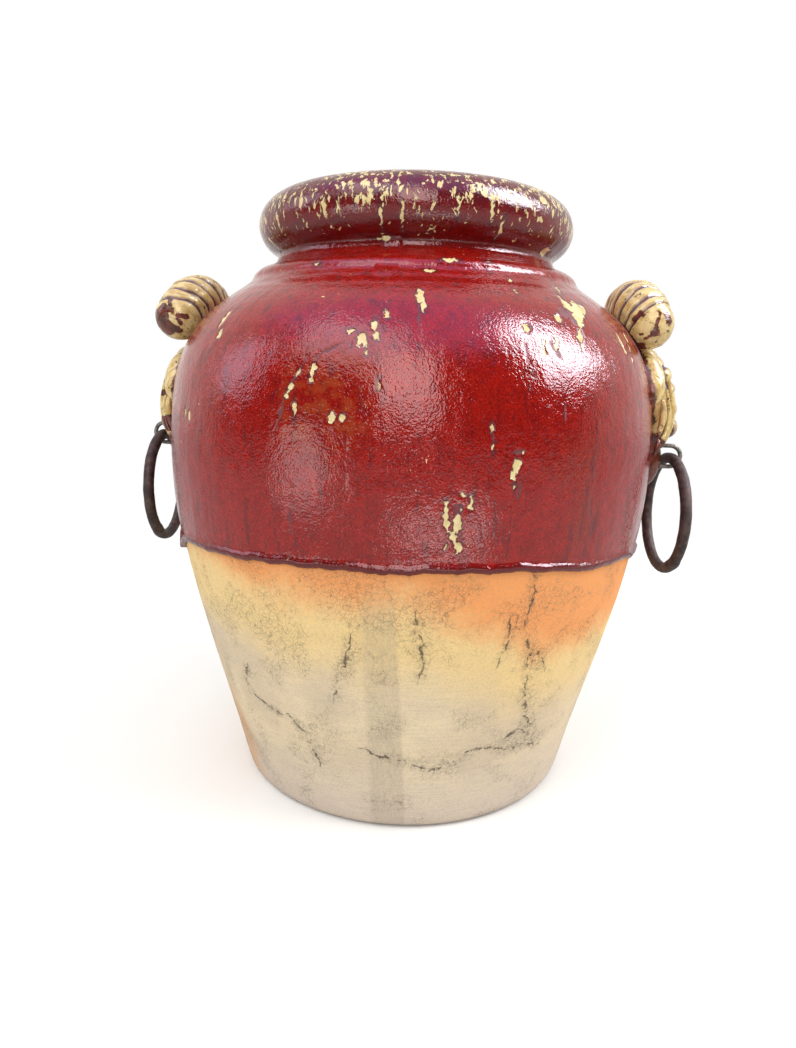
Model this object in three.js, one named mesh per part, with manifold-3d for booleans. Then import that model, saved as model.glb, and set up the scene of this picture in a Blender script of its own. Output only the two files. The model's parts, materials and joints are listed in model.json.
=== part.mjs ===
// Terracotta urn: a thrown clay pot with a rolled rim and a moulded neck, a red glaze coat that
// ends low on the belly in a thick rolled edge, and on each side a ribbed scroll, a leaf relief
// and an iron ring that hangs in a wire eye.
//
// Millimetres, +Z up. The origin is the centre of the underside. The ornaments sit on the X axis
// and -Y is the front. An angle round the pot is counted from the front towards +X.

import * as THREE from "three";
import { mergeVertices } from "three/addons/utils/BufferGeometryUtils.js";
import Module from "manifold-3d";

const { degToRad } = THREE.MathUtils;

// Clay pot, on its outer face
const FOOT_RADIUS = 121;
const FOOT_ROUNDING = 8;
const FOOT_FLARE = 0.225; // outward slope of the wall just above the foot
const BELLY_RADIUS = 168.6;
const BELLY_HEIGHT = 232;
const BELLY_FULLNESS = 70; // how far up the wall stays upright above the belly
const SHOULDER_RADIUS = 114;
const SHOULDER_RISE = 114; // above the belly
const SHOULDER_HEIGHT = BELLY_HEIGHT + SHOULDER_RISE;
const SHOULDER_PULL = 47; // how far out the shoulder keeps its slope
const SHOULDER_SLOPE = degToRad(31);
const NECK_BEAD_WIDTH = 8; // rounded step between the shoulder and the neck
const NECK_BEAD_HEIGHT = 9.5;
const NECK_BEAD_SOFTNESS = 2.5; // how far its corner is rubbed back
const NECK_RADIUS = 93.5;
const NECK_RISE = 20.5; // from the top of the shoulder to the neck's waist
const NECK_HEIGHT = SHOULDER_HEIGHT + NECK_RISE;
const RIM_RADIUS = 106.7;
const RIM_ROLL_WIDTH = 42;
const RIM_ROLL_HEIGHT = 37.8;
const RIM_TOP = NECK_HEIGHT + RIM_ROLL_HEIGHT;
const LIP_DEPTH = 22;

// Clay pot, on its inner face
const WALL = 13;
const FLOOR = 16;
const MOUTH_RADIUS = 74;
const FLOOR_ROUNDING = 14;

// Glaze coat
const GLAZE_GAP = 0.3;
const GLAZE_THICKNESS = 1.1;
const GLAZE_EDGE_HEIGHT = 170.5; // mean height of its lower edge
const GLAZE_EDGE_TILT = 15; // how much higher the edge is in front, and lower behind
const GLAZE_EDGE_RIPPLE = 0.8;
const GLAZE_ROLL_THICKNESS = 3.4; // the edge ran and gathered into a roll
const GLAZE_ROLL_HEIGHT = 6.5;
const GLAZE_DRIPS = [
  { angle: -65, halfWidth: 6, drop: 8, bulge: 2.4 },
  { angle: 142, halfWidth: 6, drop: 6, bulge: 1.6 },
  { angle: 216, halfWidth: 7, drop: 7, bulge: 2 },
];

// Ribbed scroll: a roll bent into a low arch that leans out with the shoulder
const SCROLL_ARCH_RADIUS = 42;
const SCROLL_HALF_ANGLE = degToRad(45);
const SCROLL_LEAN = degToRad(21);
const SCROLL_ROLL_RADIUS = 18.5;
const SCROLL_END_RADIUS = 16.5;
const SCROLL_RIBS = 9;
const SCROLL_GROOVE_DEPTH = 1.8;

// Leaf relief: rounded lobes pressed onto the wall, as heights above the leaf's middle.
// Each lobe off the centre line has a mirrored twin.
const LEAF_MIDDLE_RISE = 30; // above the belly
const LEAF_LOBES = [
  { name: "brow", across: 0, up: 31, halfWidth: 12, halfLength: 15, rise: 16.5, lean: 0 },
  { name: "knob", across: 0, up: 22, halfWidth: 7.5, halfLength: 7.5, rise: 20, lean: 0 },
  { name: "bulge", across: 0, up: 9, halfWidth: 12, halfLength: 19, rise: 19.5, lean: 0 },
  { name: "chin", across: 0, up: -6, halfWidth: 12.5, halfLength: 18.5, rise: 21, lean: 0 },
  { name: "tail", across: 0, up: -27, halfWidth: 11, halfLength: 27, rise: 14.5, lean: 0 },
  { name: "collar", across: 13, up: 36, halfWidth: 11, halfLength: 13, rise: 11, lean: -35 },
  { name: "cheek", across: 17, up: 17, halfWidth: 7.5, halfLength: 24, rise: 13.5, lean: -18 },
  { name: "outer curl", across: 32, up: 26, halfWidth: 9, halfLength: 22, rise: 9, lean: -30 },
  { name: "middle curl", across: 28, up: 3, halfWidth: 7, halfLength: 17, rise: 9, lean: -24 },
  { name: "lower curl", across: 17, up: -12, halfWidth: 7, halfLength: 19, rise: 10.5, lean: -20 },
  { name: "last curl", across: 15, up: -29, halfWidth: 5, halfLength: 11, rise: 6.5, lean: -14 },
];
const SEAT_GAP = 0.3;

// Wire eye: a staple whose two legs sit in sockets in the leaf, with a round end that holds the ring
const EYE_WIRE = 3;
const EYE_INNER_RADIUS = 6;
const EYE_RADIUS = EYE_INNER_RADIUS + EYE_WIRE / 2;
const EYE_LEG_LENGTH = 15; // from the centre of the round end to the tips of the legs
const SOCKET_CLEARANCE = 0.3;

// Iron ring
const RING_ROD = 8;
const RING_REST_GAP = 0.3; // between the rod and the wire it rests on
const RING_REST_OUTWARD = degToRad(36); // where on the eye's round end the rod rests

// The ornaments were made and pressed on by hand, so the two sides differ a little. At its crest the
// scroll's roll is pressed into the glaze by scrollSink, at scrollSeatDrop below the shoulder's top.
// The centre of the eye's round end stands level off the glaze by eyeStandOff.
const RIGHT_SIDE = {
  name: "right",
  angle: 90,
  scrollSeatDrop: 20.2,
  scrollSink: 2.9,
  leafShift: 3,
  eyeStandOff: 18,
  eyeDrop: 29, // below the leaf's middle
  ringDiameter: 88.5,
  ringTwist: 5,
};
const LEFT_SIDE = {
  name: "left",
  angle: 270,
  scrollSeatDrop: 21.9,
  scrollSink: 0.1,
  leafShift: -3,
  eyeStandOff: 19.6,
  eyeDrop: 18,
  ringDiameter: 86,
  ringTwist: 5,
};

// How finely the surfaces are divided
const SEGMENTS_AROUND = 44;
const SCROLL_SIDES = 14;
const GLAZE_ROLL_TURNS = [20, 75, 130].map(degToRad); // points round the edge's roll
const DOME_TURNS = [80, 50, 22].map(degToRad); // points from the tip of a rounded end

const CLAY = { color: 0xcdb192, roughness: 0.92, metalness: 0 };
const RED_GLAZE = { color: 0x7d1712, roughness: 0.22, metalness: 0 };
const CREAM_GLAZE = { color: 0xd6bd83, roughness: 0.35, metalness: 0 };
const IRON = { color: 0x3a302c, roughness: 0.72, metalness: 0.75 };
const WIRE = { color: 0x5c5a54, roughness: 0.55, metalness: 0.85 };

const manifoldLibrary = await Module();
manifoldLibrary.setup();

// The wall from the foot to the belly, as a smooth radius over height.
class LowerWall extends THREE.Curve {
  getPoint(t, target = new THREE.Vector2()) {
    const height = BELLY_HEIGHT - FOOT_ROUNDING;
    const start = FOOT_RADIUS + FOOT_FLARE * FOOT_ROUNDING;
    const belly = t * t * (3 - 2 * t);
    const radius = start + (BELLY_RADIUS - start) * belly + FOOT_FLARE * height * t * (1 - t) ** 2;
    return target.set(radius, FOOT_ROUNDING + height * t);
  }
}

const lowerWall = new LowerWall();

function lowerWallShare(height) {
  return (height - FOOT_ROUNDING) / (BELLY_HEIGHT - FOOT_ROUNDING);
}

const footRounding = new THREE.QuadraticBezierCurve(
  new THREE.Vector2(FOOT_RADIUS - FOOT_ROUNDING, 0),
  new THREE.Vector2(FOOT_RADIUS, 0),
  lowerWall.getPoint(0),
);

const shoulderEnd = new THREE.Vector2(SHOULDER_RADIUS, SHOULDER_HEIGHT);
const upperWall = new THREE.CubicBezierCurve(
  new THREE.Vector2(BELLY_RADIUS, BELLY_HEIGHT),
  new THREE.Vector2(BELLY_RADIUS, BELLY_HEIGHT + BELLY_FULLNESS),
  new THREE.Vector2(
    SHOULDER_RADIUS + SHOULDER_PULL * Math.cos(SHOULDER_SLOPE),
    SHOULDER_HEIGHT - SHOULDER_PULL * Math.sin(SHOULDER_SLOPE),
  ),
  shoulderEnd,
);

const neckBeadTop = new THREE.Vector2(
  SHOULDER_RADIUS - NECK_BEAD_WIDTH,
  SHOULDER_HEIGHT + NECK_BEAD_HEIGHT,
);
const neckBead = new THREE.QuadraticBezierCurve(
  shoulderEnd,
  new THREE.Vector2(SHOULDER_RADIUS, neckBeadTop.y).subScalar(NECK_BEAD_SOFTNESS),
  neckBeadTop,
);
const neckWaist = new THREE.Vector2(NECK_RADIUS, NECK_HEIGHT);
const neckHollow = new THREE.QuadraticBezierCurve(
  neckBeadTop,
  new THREE.Vector2(NECK_RADIUS + NECK_BEAD_WIDTH / 2, neckBeadTop.y),
  neckWaist,
);

// The rolled rim is an ellipse in section, from the neck's waist over the top to the mouth.
const RIM_HALF_HEIGHT = (RIM_TOP - NECK_HEIGHT) / 2;
const rimCentre = new THREE.Vector2(RIM_RADIUS - RIM_ROLL_WIDTH / 2, RIM_TOP - RIM_HALF_HEIGHT);
const rimRoll = new THREE.EllipseCurve(
  rimCentre.x, rimCentre.y, RIM_ROLL_WIDTH / 2, RIM_HALF_HEIGHT, -Math.PI / 2.4, Math.PI / 2, false, 0,
);
const lip = new THREE.EllipseCurve(
  rimCentre.x, RIM_TOP - LIP_DEPTH, rimCentre.x - MOUTH_RADIUS, LIP_DEPTH, Math.PI / 2, Math.PI, false, 0,
);

// A point of a wall curve, moved off the wall along its normal.
function offsetPoint(curve, t, distance) {
  const point = curve.getPoint(t);
  const tangent = curve.getTangent(t);
  return new THREE.Vector2(point.x + tangent.y * distance, point.y - tangent.x * distance);
}

function offsetPoints(curve, steps, distance, from = 1 / steps, to = 1) {
  const points = [];
  for (let step = 0; step < steps; step += 1) {
    const t = steps === 1 ? to : from + ((to - from) * step) / (steps - 1);
    points.push(offsetPoint(curve, t, distance));
  }
  return points;
}

// The wall above the belly, a given distance off the clay.
function upperOutline(distance) {
  return [
    ...offsetPoints(upperWall, 6, distance),
    ...offsetPoints(neckBead, 3, distance),
    ...offsetPoints(neckHollow, 2, distance),
    ...offsetPoints(rimRoll, 8, distance),
    ...offsetPoints(lip, 3, distance),
  ];
}

function lathe(points) {
  return new THREE.LatheGeometry(points, SEGMENTS_AROUND).rotateX(Math.PI / 2);
}

function urnBody() {
  const wallFoot = lowerWallShare(FLOOR + FLOOR_ROUNDING);
  const floorCorner = offsetPoint(lowerWall, wallFoot, -WALL);
  const floorCurve = new THREE.QuadraticBezierCurve(
    floorCorner,
    new THREE.Vector2(floorCorner.x, FLOOR),
    new THREE.Vector2(floorCorner.x - FLOOR_ROUNDING, FLOOR),
  );
  return lathe([
    new THREE.Vector2(0, 0),
    ...footRounding.getPoints(2),
    ...offsetPoints(lowerWall, 9, 0),
    ...upperOutline(0),
    new THREE.Vector2(MOUTH_RADIUS, NECK_HEIGHT - WALL / 2),
    ...offsetPoints(upperWall, 4, -WALL, 1, 1 / 4),
    ...offsetPoints(lowerWall, 4, -WALL, 1, wallFoot),
    ...floorCurve.getPoints(2).slice(1),
    new THREE.Vector2(0, FLOOR),
  ]);
}

// A skin over closed rings of points. Either the last ring meets the first, or both ends are capped.
function skinOver(rings, joined) {
  const count = rings[0].length;
  const positions = rings.flat().flatMap((point) => [point.x, point.y, point.z]);
  const faces = [];
  const bands = joined ? rings.length : rings.length - 1;
  for (let band = 0; band < bands; band += 1) {
    const here = band * count;
    const next = ((band + 1) % rings.length) * count;
    for (let side = 0; side < count; side += 1) {
      const after = (side + 1) % count;
      faces.push(here + side, next + side, next + after);
      faces.push(here + side, next + after, here + after);
    }
  }
  if (!joined) {
    for (let side = 1; side < count - 1; side += 1) {
      const last = (rings.length - 1) * count;
      faces.push(0, side, side + 1);
      faces.push(last, last + side + 1, last + side);
    }
  }
  const geometry = new THREE.BufferGeometry();
  geometry.setAttribute("position", new THREE.Float32BufferAttribute(positions, 3));
  geometry.setIndex(faces);
  return geometry;
}

function bump(distance, halfWidth) {
  return Math.exp(-((distance / halfWidth) ** 2));
}

function angleBetween(a, b) {
  return Math.abs(((a - b + 540) % 360) - 180);
}

// How far the edge hangs down, or swells out, at an angle round the pot because of its drips.
function dripAt(angle, key) {
  return GLAZE_DRIPS.reduce(
    (sum, drip) => sum + drip[key] * bump(angleBetween(angle, drip.angle), drip.halfWidth),
    0,
  );
}

function glazeEdge(angle) {
  const turn = degToRad(angle);
  const ripple = Math.sin(5 * turn + 1) + Math.sin(9 * turn) / 2;
  const level = GLAZE_EDGE_HEIGHT + GLAZE_EDGE_TILT * Math.cos(turn) + GLAZE_EDGE_RIPPLE * ripple;
  return level - dripAt(angle, "drop");
}

// One closed section of the coat: up its outer side, over the rim, and back down on the clay.
function glazeSection(angle) {
  const edge = glazeEdge(angle);
  const rollTop = edge + GLAZE_ROLL_HEIGHT;
  const swell = GLAZE_ROLL_THICKNESS + dripAt(angle, "bulge");
  const outer = GLAZE_GAP + GLAZE_THICKNESS;
  const edgeShare = lowerWallShare(edge);
  const rollShare = lowerWallShare(rollTop) - edgeShare;
  const roll = GLAZE_ROLL_TURNS.map((turn) => {
    const t = edgeShare + (rollShare * (1 - Math.cos(turn))) / 2;
    return offsetPoint(lowerWall, t, GLAZE_GAP + swell * Math.sin(turn));
  });
  const upToBelly = [lowerWallShare(rollTop), 1];
  return [
    offsetPoint(lowerWall, edgeShare, GLAZE_GAP),
    ...roll,
    ...offsetPoints(lowerWall, 4, outer, ...upToBelly),
    ...upperOutline(outer),
    ...upperOutline(GLAZE_GAP).reverse(),
    ...offsetPoints(lowerWall, 4, GLAZE_GAP, ...upToBelly).reverse(),
  ];
}

function glazeCoat() {
  const rings = [];
  for (let step = 0; step < SEGMENTS_AROUND; step += 1) {
    const angle = (360 * step) / SEGMENTS_AROUND;
    const turn = degToRad(angle);
    rings.push(glazeSection(angle).map(
      (point) => new THREE.Vector3(point.x * Math.sin(turn), -point.x * Math.cos(turn), point.y),
    ));
  }
  return skinOver(rings, true);
}

// Solids for joins and cuts

function solidOf(geometry) {
  const bare = geometry.clone();
  bare.deleteAttribute("normal");
  bare.deleteAttribute("uv");
  const merged = mergeVertices(bare, 1e-4);
  const corners = merged.index.array;
  const triangles = [];
  for (let i = 0; i < corners.length; i += 3) {
    const [a, b, c] = corners.slice(i, i + 3);
    if (a !== b && b !== c && c !== a) triangles.push(a, b, c);
  }
  return new manifoldLibrary.Manifold(new manifoldLibrary.Mesh({
    numProp: 3,
    vertProperties: Float32Array.from(merged.attributes.position.array),
    triVerts: Uint32Array.from(triangles),
  }));
}

function geometryOf(solid) {
  const mesh = solid.getMesh();
  const geometry = new THREE.BufferGeometry();
  geometry.setAttribute("position", new THREE.BufferAttribute(mesh.vertProperties, 3));
  geometry.setIndex(new THREE.BufferAttribute(mesh.triVerts, 1));
  return geometry;
}

// The glazed pot without its hollow, grown by the seat gap: what the pressed-on pieces sit on.
function seatSolid() {
  const distance = GLAZE_GAP + GLAZE_THICKNESS + SEAT_GAP;
  return solidOf(lathe([
    new THREE.Vector2(0, 0),
    ...footRounding.getPoints(2),
    ...offsetPoints(lowerWall, 14, distance),
    ...upperOutline(distance),
    new THREE.Vector2(0, RIM_TOP - LIP_DEPTH),
  ]));
}

const seat = seatSolid();

function upperWallShare(height) {
  let low = 0;
  let high = 1;
  while (high - low > 1e-4) {
    const middle = (low + high) / 2;
    if (upperWall.getPoint(middle).y < height) low = middle;
    else high = middle;
  }
  return low;
}

// Radius of the glazed wall at a height, between the foot and the shoulder
function glazedRadius(height) {
  const onLowerWall = height <= BELLY_HEIGHT;
  const wall = onLowerWall ? lowerWall : upperWall;
  const share = onLowerWall ? lowerWallShare(height) : upperWallShare(height);
  return wall.getPoint(share).x + GLAZE_GAP + GLAZE_THICKNESS;
}

// Each ornament is built on the +X side of the pot and then turned to its side.

// The middle of the scroll's roll at its crest, as a distance from the pot's axis and a height
function scrollCrest(side) {
  const seatShare = upperWallShare(SHOULDER_HEIGHT - side.scrollSeatDrop);
  const glazeFace = GLAZE_GAP + GLAZE_THICKNESS;
  return offsetPoint(upperWall, seatShare, glazeFace + SCROLL_ROLL_RADIUS - side.scrollSink);
}

function scroll(side) {
  const crest = scrollCrest(side);
  const rings = [];
  const addRing = (angle, radius, along) => {
    const centre = new THREE.Vector3(
      crest.x + SCROLL_ARCH_RADIUS * (1 - Math.cos(angle)) * Math.tan(SCROLL_LEAN),
      -SCROLL_ARCH_RADIUS * Math.sin(angle),
      crest.y - SCROLL_ARCH_RADIUS * (1 - Math.cos(angle)),
    );
    const tangent = new THREE.Vector3(
      Math.sin(angle) * Math.tan(SCROLL_LEAN),
      -Math.cos(angle),
      -Math.sin(angle),
    ).normalize();
    const outward = new THREE.Vector3(Math.cos(SCROLL_LEAN), 0, Math.sin(SCROLL_LEAN));
    outward.addScaledVector(tangent, -outward.dot(tangent)).normalize();
    const upward = new THREE.Vector3().crossVectors(outward, tangent);
    centre.addScaledVector(tangent, along);
    const ring = [];
    for (let corner = 0; corner < SCROLL_SIDES; corner += 1) {
      const turn = (2 * Math.PI * corner) / SCROLL_SIDES;
      ring.push(centre.clone()
        .addScaledVector(outward, radius * Math.cos(turn))
        .addScaledVector(upward, radius * Math.sin(turn)));
    }
    rings.push(ring);
  };
  for (const dome of DOME_TURNS) {
    addRing(-SCROLL_HALF_ANGLE, SCROLL_END_RADIUS * Math.cos(dome), -SCROLL_END_RADIUS * Math.sin(dome));
  }
  for (let step = 0; step <= 2 * SCROLL_RIBS; step += 1) {
    const share = step / SCROLL_RIBS - 1;
    const round = SCROLL_ROLL_RADIUS + (SCROLL_END_RADIUS - SCROLL_ROLL_RADIUS) * share * share;
    const groove = step % 2 === 0 ? SCROLL_GROOVE_DEPTH : 0;
    addRing(SCROLL_HALF_ANGLE * share, round - groove, 0);
  }
  for (const dome of DOME_TURNS.toReversed()) {
    addRing(SCROLL_HALF_ANGLE, SCROLL_END_RADIUS * Math.cos(dome), SCROLL_END_RADIUS * Math.sin(dome));
  }
  return geometryOf(solidOf(skinOver(rings, false)).subtract(seat));
}

function leafLobe(lobe, across, lean, middle) {
  const height = middle + lobe.up;
  const radius = glazedRadius(height);
  const slope = (glazedRadius(height - 1) - glazedRadius(height + 1)) / 2;
  return new THREE.SphereGeometry(1, 8, 6)
    .scale(lobe.rise, lobe.halfWidth, lobe.halfLength)
    .rotateX(degToRad(lean))
    .rotateY(-Math.atan(slope))
    .translate(radius, 0, height)
    .rotateZ(across / BELLY_RADIUS);
}

function leafMiddle(side) {
  return BELLY_HEIGHT + LEAF_MIDDLE_RISE + side.leafShift;
}

// The centre of an eye's round end
function eyeCentre(side) {
  const height = leafMiddle(side) - side.eyeDrop;
  return new THREE.Vector3(glazedRadius(height) + side.eyeStandOff, 0, height);
}

// The round end of an eye, from its lower leg to its upper one
class EyeBend extends THREE.Curve {
  constructor(centre) {
    super();
    this.centre = centre;
  }

  getPoint(t, target = new THREE.Vector3()) {
    const turn = Math.PI * (t - 1 / 2);
    const out = this.centre.x + EYE_RADIUS * Math.cos(turn);
    return target.set(out, 0, this.centre.z + EYE_RADIUS * Math.sin(turn));
  }
}

function levelLine(height, from, to) {
  return new THREE.LineCurve3(new THREE.Vector3(from, 0, height), new THREE.Vector3(to, 0, height));
}

// A length of wire, or the hole for it
function wireAlong(path, thickness, steps) {
  const section = new THREE.Shape();
  section.absarc(0, 0, thickness / 2, 0, 2 * Math.PI);
  return new THREE.ExtrudeGeometry(section, { steps, curveSegments: 3, extrudePath: path });
}

function leaf(side) {
  const middle = leafMiddle(side);
  const eye = eyeCentre(side);
  let solid = null;
  for (const lobe of LEAF_LOBES) {
    const places = lobe.across === 0 ? [1] : [1, -1];
    for (const hand of places) {
      const piece = solidOf(leafLobe(lobe, lobe.across * hand, -lobe.lean * hand, middle));
      solid = solid ? solid.add(piece) : piece;
    }
  }
  solid = solid.subtract(seat);
  for (const height of [eye.z - EYE_RADIUS, eye.z + EYE_RADIUS]) {
    const tip = eye.x - EYE_LEG_LENGTH - SOCKET_CLEARANCE;
    const socket = levelLine(height, tip, eye.x + EYE_WIRE / 2);
    solid = solid.subtract(solidOf(wireAlong(socket, EYE_WIRE + 2 * SOCKET_CLEARANCE, 1)));
  }
  return geometryOf(solid);
}

function ringEye(side) {
  const eye = eyeCentre(side);
  const tip = eye.x - EYE_LEG_LENGTH;
  const path = new THREE.CurvePath();
  path.add(levelLine(eye.z - EYE_RADIUS, tip, eye.x));
  path.add(new EyeBend(eye));
  path.add(levelLine(eye.z + EYE_RADIUS, eye.x, tip));
  return wireAlong(path, EYE_WIRE, 20);
}

// The ring hangs from the eye: its rod lies in the round end, a little outward of the lowest point.
function ringTop(side) {
  const reach = EYE_INNER_RADIUS - RING_ROD / 2 - RING_REST_GAP;
  const eye = eyeCentre(side);
  return new THREE.Vector3(
    eye.x + reach * Math.sin(RING_REST_OUTWARD),
    0,
    eye.z - reach * Math.cos(RING_REST_OUTWARD),
  );
}

function ring(side) {
  const radius = (side.ringDiameter - RING_ROD) / 2;
  return new THREE.TorusGeometry(radius, RING_ROD / 2, 8, 28)
    .rotateY(Math.PI / 2)
    .translate(0, 0, -radius)
    .rotateZ(degToRad(side.ringTwist));
}

function named(name, geometry, look) {
  const mesh = new THREE.Mesh(geometry, new THREE.MeshStandardMaterial(look));
  mesh.name = name;
  return mesh;
}

const urn = new THREE.Group();
urn.add(named("urn_body", urnBody(), CLAY));
urn.add(named("glaze_coat", glazeCoat(), RED_GLAZE));

for (const side of [RIGHT_SIDE, LEFT_SIDE]) {
  const ornament = new THREE.Group();
  ornament.rotation.z = degToRad(side.angle - 90);
  ornament.add(named(`scroll_${side.name}`, scroll(side), CREAM_GLAZE));
  ornament.add(named(`leaf_${side.name}`, leaf(side), CREAM_GLAZE));
  ornament.add(named(`ring_eye_${side.name}`, ringEye(side), WIRE));
  const hanging = named(`ring_${side.name}`, ring(side), IRON);
  hanging.position.copy(ringTop(side));
  ornament.add(hanging);
  urn.add(ornament);
}

export default urn;
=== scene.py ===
# %% [markdown]
# # A red glazed terracotta urn
# This lesson dresses a garden urn. A thrown clay pot wears a thick red glaze that stops low on its
# belly. On each side sit a ribbed scroll, a leaf relief and an iron ring in a wire eye. The solid
# model of the urn is the frame: it gives every piece its place and size, so nothing here is fitted.

# %% Open the frame
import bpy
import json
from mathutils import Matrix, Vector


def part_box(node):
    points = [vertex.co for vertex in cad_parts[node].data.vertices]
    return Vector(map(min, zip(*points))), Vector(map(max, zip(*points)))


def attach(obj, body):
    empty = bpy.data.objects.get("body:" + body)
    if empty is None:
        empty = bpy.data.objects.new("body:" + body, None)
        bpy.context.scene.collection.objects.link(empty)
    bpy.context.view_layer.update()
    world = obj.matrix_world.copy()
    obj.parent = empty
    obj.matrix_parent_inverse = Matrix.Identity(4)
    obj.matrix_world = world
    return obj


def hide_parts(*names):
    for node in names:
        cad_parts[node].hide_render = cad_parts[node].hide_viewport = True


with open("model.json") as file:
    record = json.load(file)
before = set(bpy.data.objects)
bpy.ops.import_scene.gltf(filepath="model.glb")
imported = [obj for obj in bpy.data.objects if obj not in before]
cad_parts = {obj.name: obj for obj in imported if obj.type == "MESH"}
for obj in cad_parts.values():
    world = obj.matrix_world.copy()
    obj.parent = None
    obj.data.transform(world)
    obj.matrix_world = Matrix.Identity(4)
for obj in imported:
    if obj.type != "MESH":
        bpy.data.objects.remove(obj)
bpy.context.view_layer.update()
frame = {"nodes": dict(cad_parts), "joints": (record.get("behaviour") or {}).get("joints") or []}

# %% Tools for the whole lesson
import json
import math

import bmesh
import bpy
import numpy as np
from mathutils import Matrix, Vector, kdtree, noise

MM = 0.001
WELD = 0.002 * MM  # corners closer than this are one corner


def mesh_piece(name, form, body, slot, *nodes):
    """Makes a finished piece of a bmesh: it rides on a body and stands for nodes of the frame."""
    mesh = bpy.data.meshes.new(name)
    form.to_mesh(mesh)
    form.free()
    for face in mesh.polygons:
        face.use_smooth = True
    piece = bpy.data.objects.new(name, mesh)
    bpy.context.scene.collection.objects.link(piece)
    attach(piece, body)
    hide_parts(*nodes)
    print(name, len(mesh.vertices), "corners", len(mesh.polygons), "faces")
    return piece


# %% [markdown]
# ## The camera
# The photograph was taken from half a metre away with a wide phone lens, from just above the belly
# and tipped down, and the phone was held a little askew. These few numbers put the camera there.
# A camera looks along its own -Z, so its right, up and backward directions make its rotation.

# %% Set up the camera
CAMERA_PLACE = Vector((46.4, -537.8, 291.8)) * MM
CAMERA_TURN = math.radians(-5.73)  # to the left of straight ahead
CAMERA_DIP = math.radians(12)
CAMERA_ROLL = math.radians(1.39)
LENS = 24.8  # mm
SENSOR = 36  # mm wide

ahead = Vector((
    math.sin(CAMERA_TURN) * math.cos(CAMERA_DIP),
    math.cos(CAMERA_TURN) * math.cos(CAMERA_DIP),
    -math.sin(CAMERA_DIP),
))
level_right = Vector((math.cos(CAMERA_TURN), -math.sin(CAMERA_TURN), 0))
level_up = level_right.cross(ahead)
roll = Matrix.Rotation(-CAMERA_ROLL, 3, ahead)
right = roll @ level_right
up = roll @ level_up

camera = bpy.data.objects.new("camera", bpy.data.cameras.new("camera"))
camera.data.lens = LENS
camera.data.sensor_width = SENSOR
axes = Matrix((right, up, -ahead)).transposed()
camera.matrix_world = Matrix.Translation(CAMERA_PLACE) @ axes.to_4x4()
bpy.context.scene.collection.objects.link(camera)
bpy.context.scene.camera = camera
print("camera at", tuple(round(value, 3) for value in CAMERA_PLACE))

# %% [markdown]
# ## The outline of the pot
# A thrown pot is one outline turned round an axis. The frame's pot is cut with a plane through its
# axis, which leaves its outline as a chain of edges. The chain is coarse, so a cubic B-spline is
# drawn along it: it bends evenly and never overshoots, which glossy glaze would show at once.

# %% Read the outline of the clay

LINE_STEP = 0.5 * MM  # between the points of a smooth line
SHOULDER_TOP = 346 * MM  # where the wall ends and the neck begins


def outline_of(node):
    """The outline of a turned node on its front side, as (radius, height) points from the axis on."""
    cut = bmesh.new()
    cut.from_mesh(frame["nodes"][node].data)
    bmesh.ops.remove_doubles(cut, verts=cut.verts, dist=WELD)
    bmesh.ops.bisect_plane(
        cut, geom=cut.verts[:] + cut.edges[:] + cut.faces[:], dist=WELD,
        plane_co=(0, 0, 0), plane_no=(1, 0, 0), clear_inner=True, clear_outer=True,
    )
    bmesh.ops.delete(cut, geom=[vert for vert in cut.verts if vert.co.y > WELD], context="VERTS")
    bmesh.ops.remove_doubles(cut, verts=cut.verts, dist=WELD)
    vert = min((vert for vert in cut.verts if len(vert.link_edges) == 1), key=lambda end: end.co.z)
    edge = None
    points = []
    while vert:
        points.append((-vert.co.y, vert.co.z))
        onward = [link for link in vert.link_edges if link is not edge]
        edge = onward[0] if onward else None
        vert = edge.other_vert(vert) if edge else None
    cut.free()
    return points


def smooth_line(points, step):
    """A cubic B-spline through points, whose pull towards the inside of a bend is taken back."""
    points = np.array(points)

    def with_ends(line):
        return np.vstack([2 * line[0] - line[1], line, 2 * line[-1] - line[-2]])

    padded = with_ends(points)
    control = with_ends(points - (padded[:-2] - 2 * points + padded[2:]) / 6)
    pieces = []
    for index in range(len(points) - 1):
        count = math.ceil(np.linalg.norm(points[index + 1] - points[index]) / step)
        t = np.arange(count) / count
        weights = np.stack([
            (1 - t) ** 3, 3 * t**3 - 6 * t**2 + 4, -3 * t**3 + 3 * t**2 + 3 * t + 1, t**3,
        ], 1)
        pieces.append(weights @ control[index:index + 4] / 6)
    return np.vstack(pieces + [points[-1:]])


def index_at(line, height):
    """Index of the point of a line that is nearest to a height."""
    return int(np.argmin(np.abs(line[:, 1] - height)))


clay_outline = outline_of("urn_body")
clay_line = smooth_line(clay_outline[1:-1], LINE_STEP)
rim_top = int(np.argmax(clay_line[:, 1]))
belly = int(np.argmax(clay_line[:, 0]))
shoulder = index_at(clay_line[:rim_top], SHOULDER_TOP)
print(len(clay_outline), "corners in the frame's outline,", len(clay_line), "points on the smooth one")
print("belly %.1f mm at height %.1f mm" % tuple(clay_line[belly] / MM))


def wall_radius(height):
    """Radius of the clay's outer face at a height between the foot and the shoulder."""
    return np.interp(height, clay_line[:shoulder, 1], clay_line[:shoulder, 0])


def walk(line, start, stop, step):
    """Points of a line between two of its indices, about a step apart."""
    part = line[start:stop]
    along = np.concatenate([[0], np.cumsum(np.linalg.norm(np.diff(part, axis=0), axis=1))])
    where = np.linspace(0, along[-1], max(2, round(along[-1] / step) + 1))
    return np.stack([np.interp(where, along, part[:, 0]), np.interp(where, along, part[:, 1])], 1)


def directions(line):
    """The direction of a line at each of its points, with length 1."""
    slope = np.gradient(line, axis=0)
    return slope / np.linalg.norm(slope, axis=1)[:, None]


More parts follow.
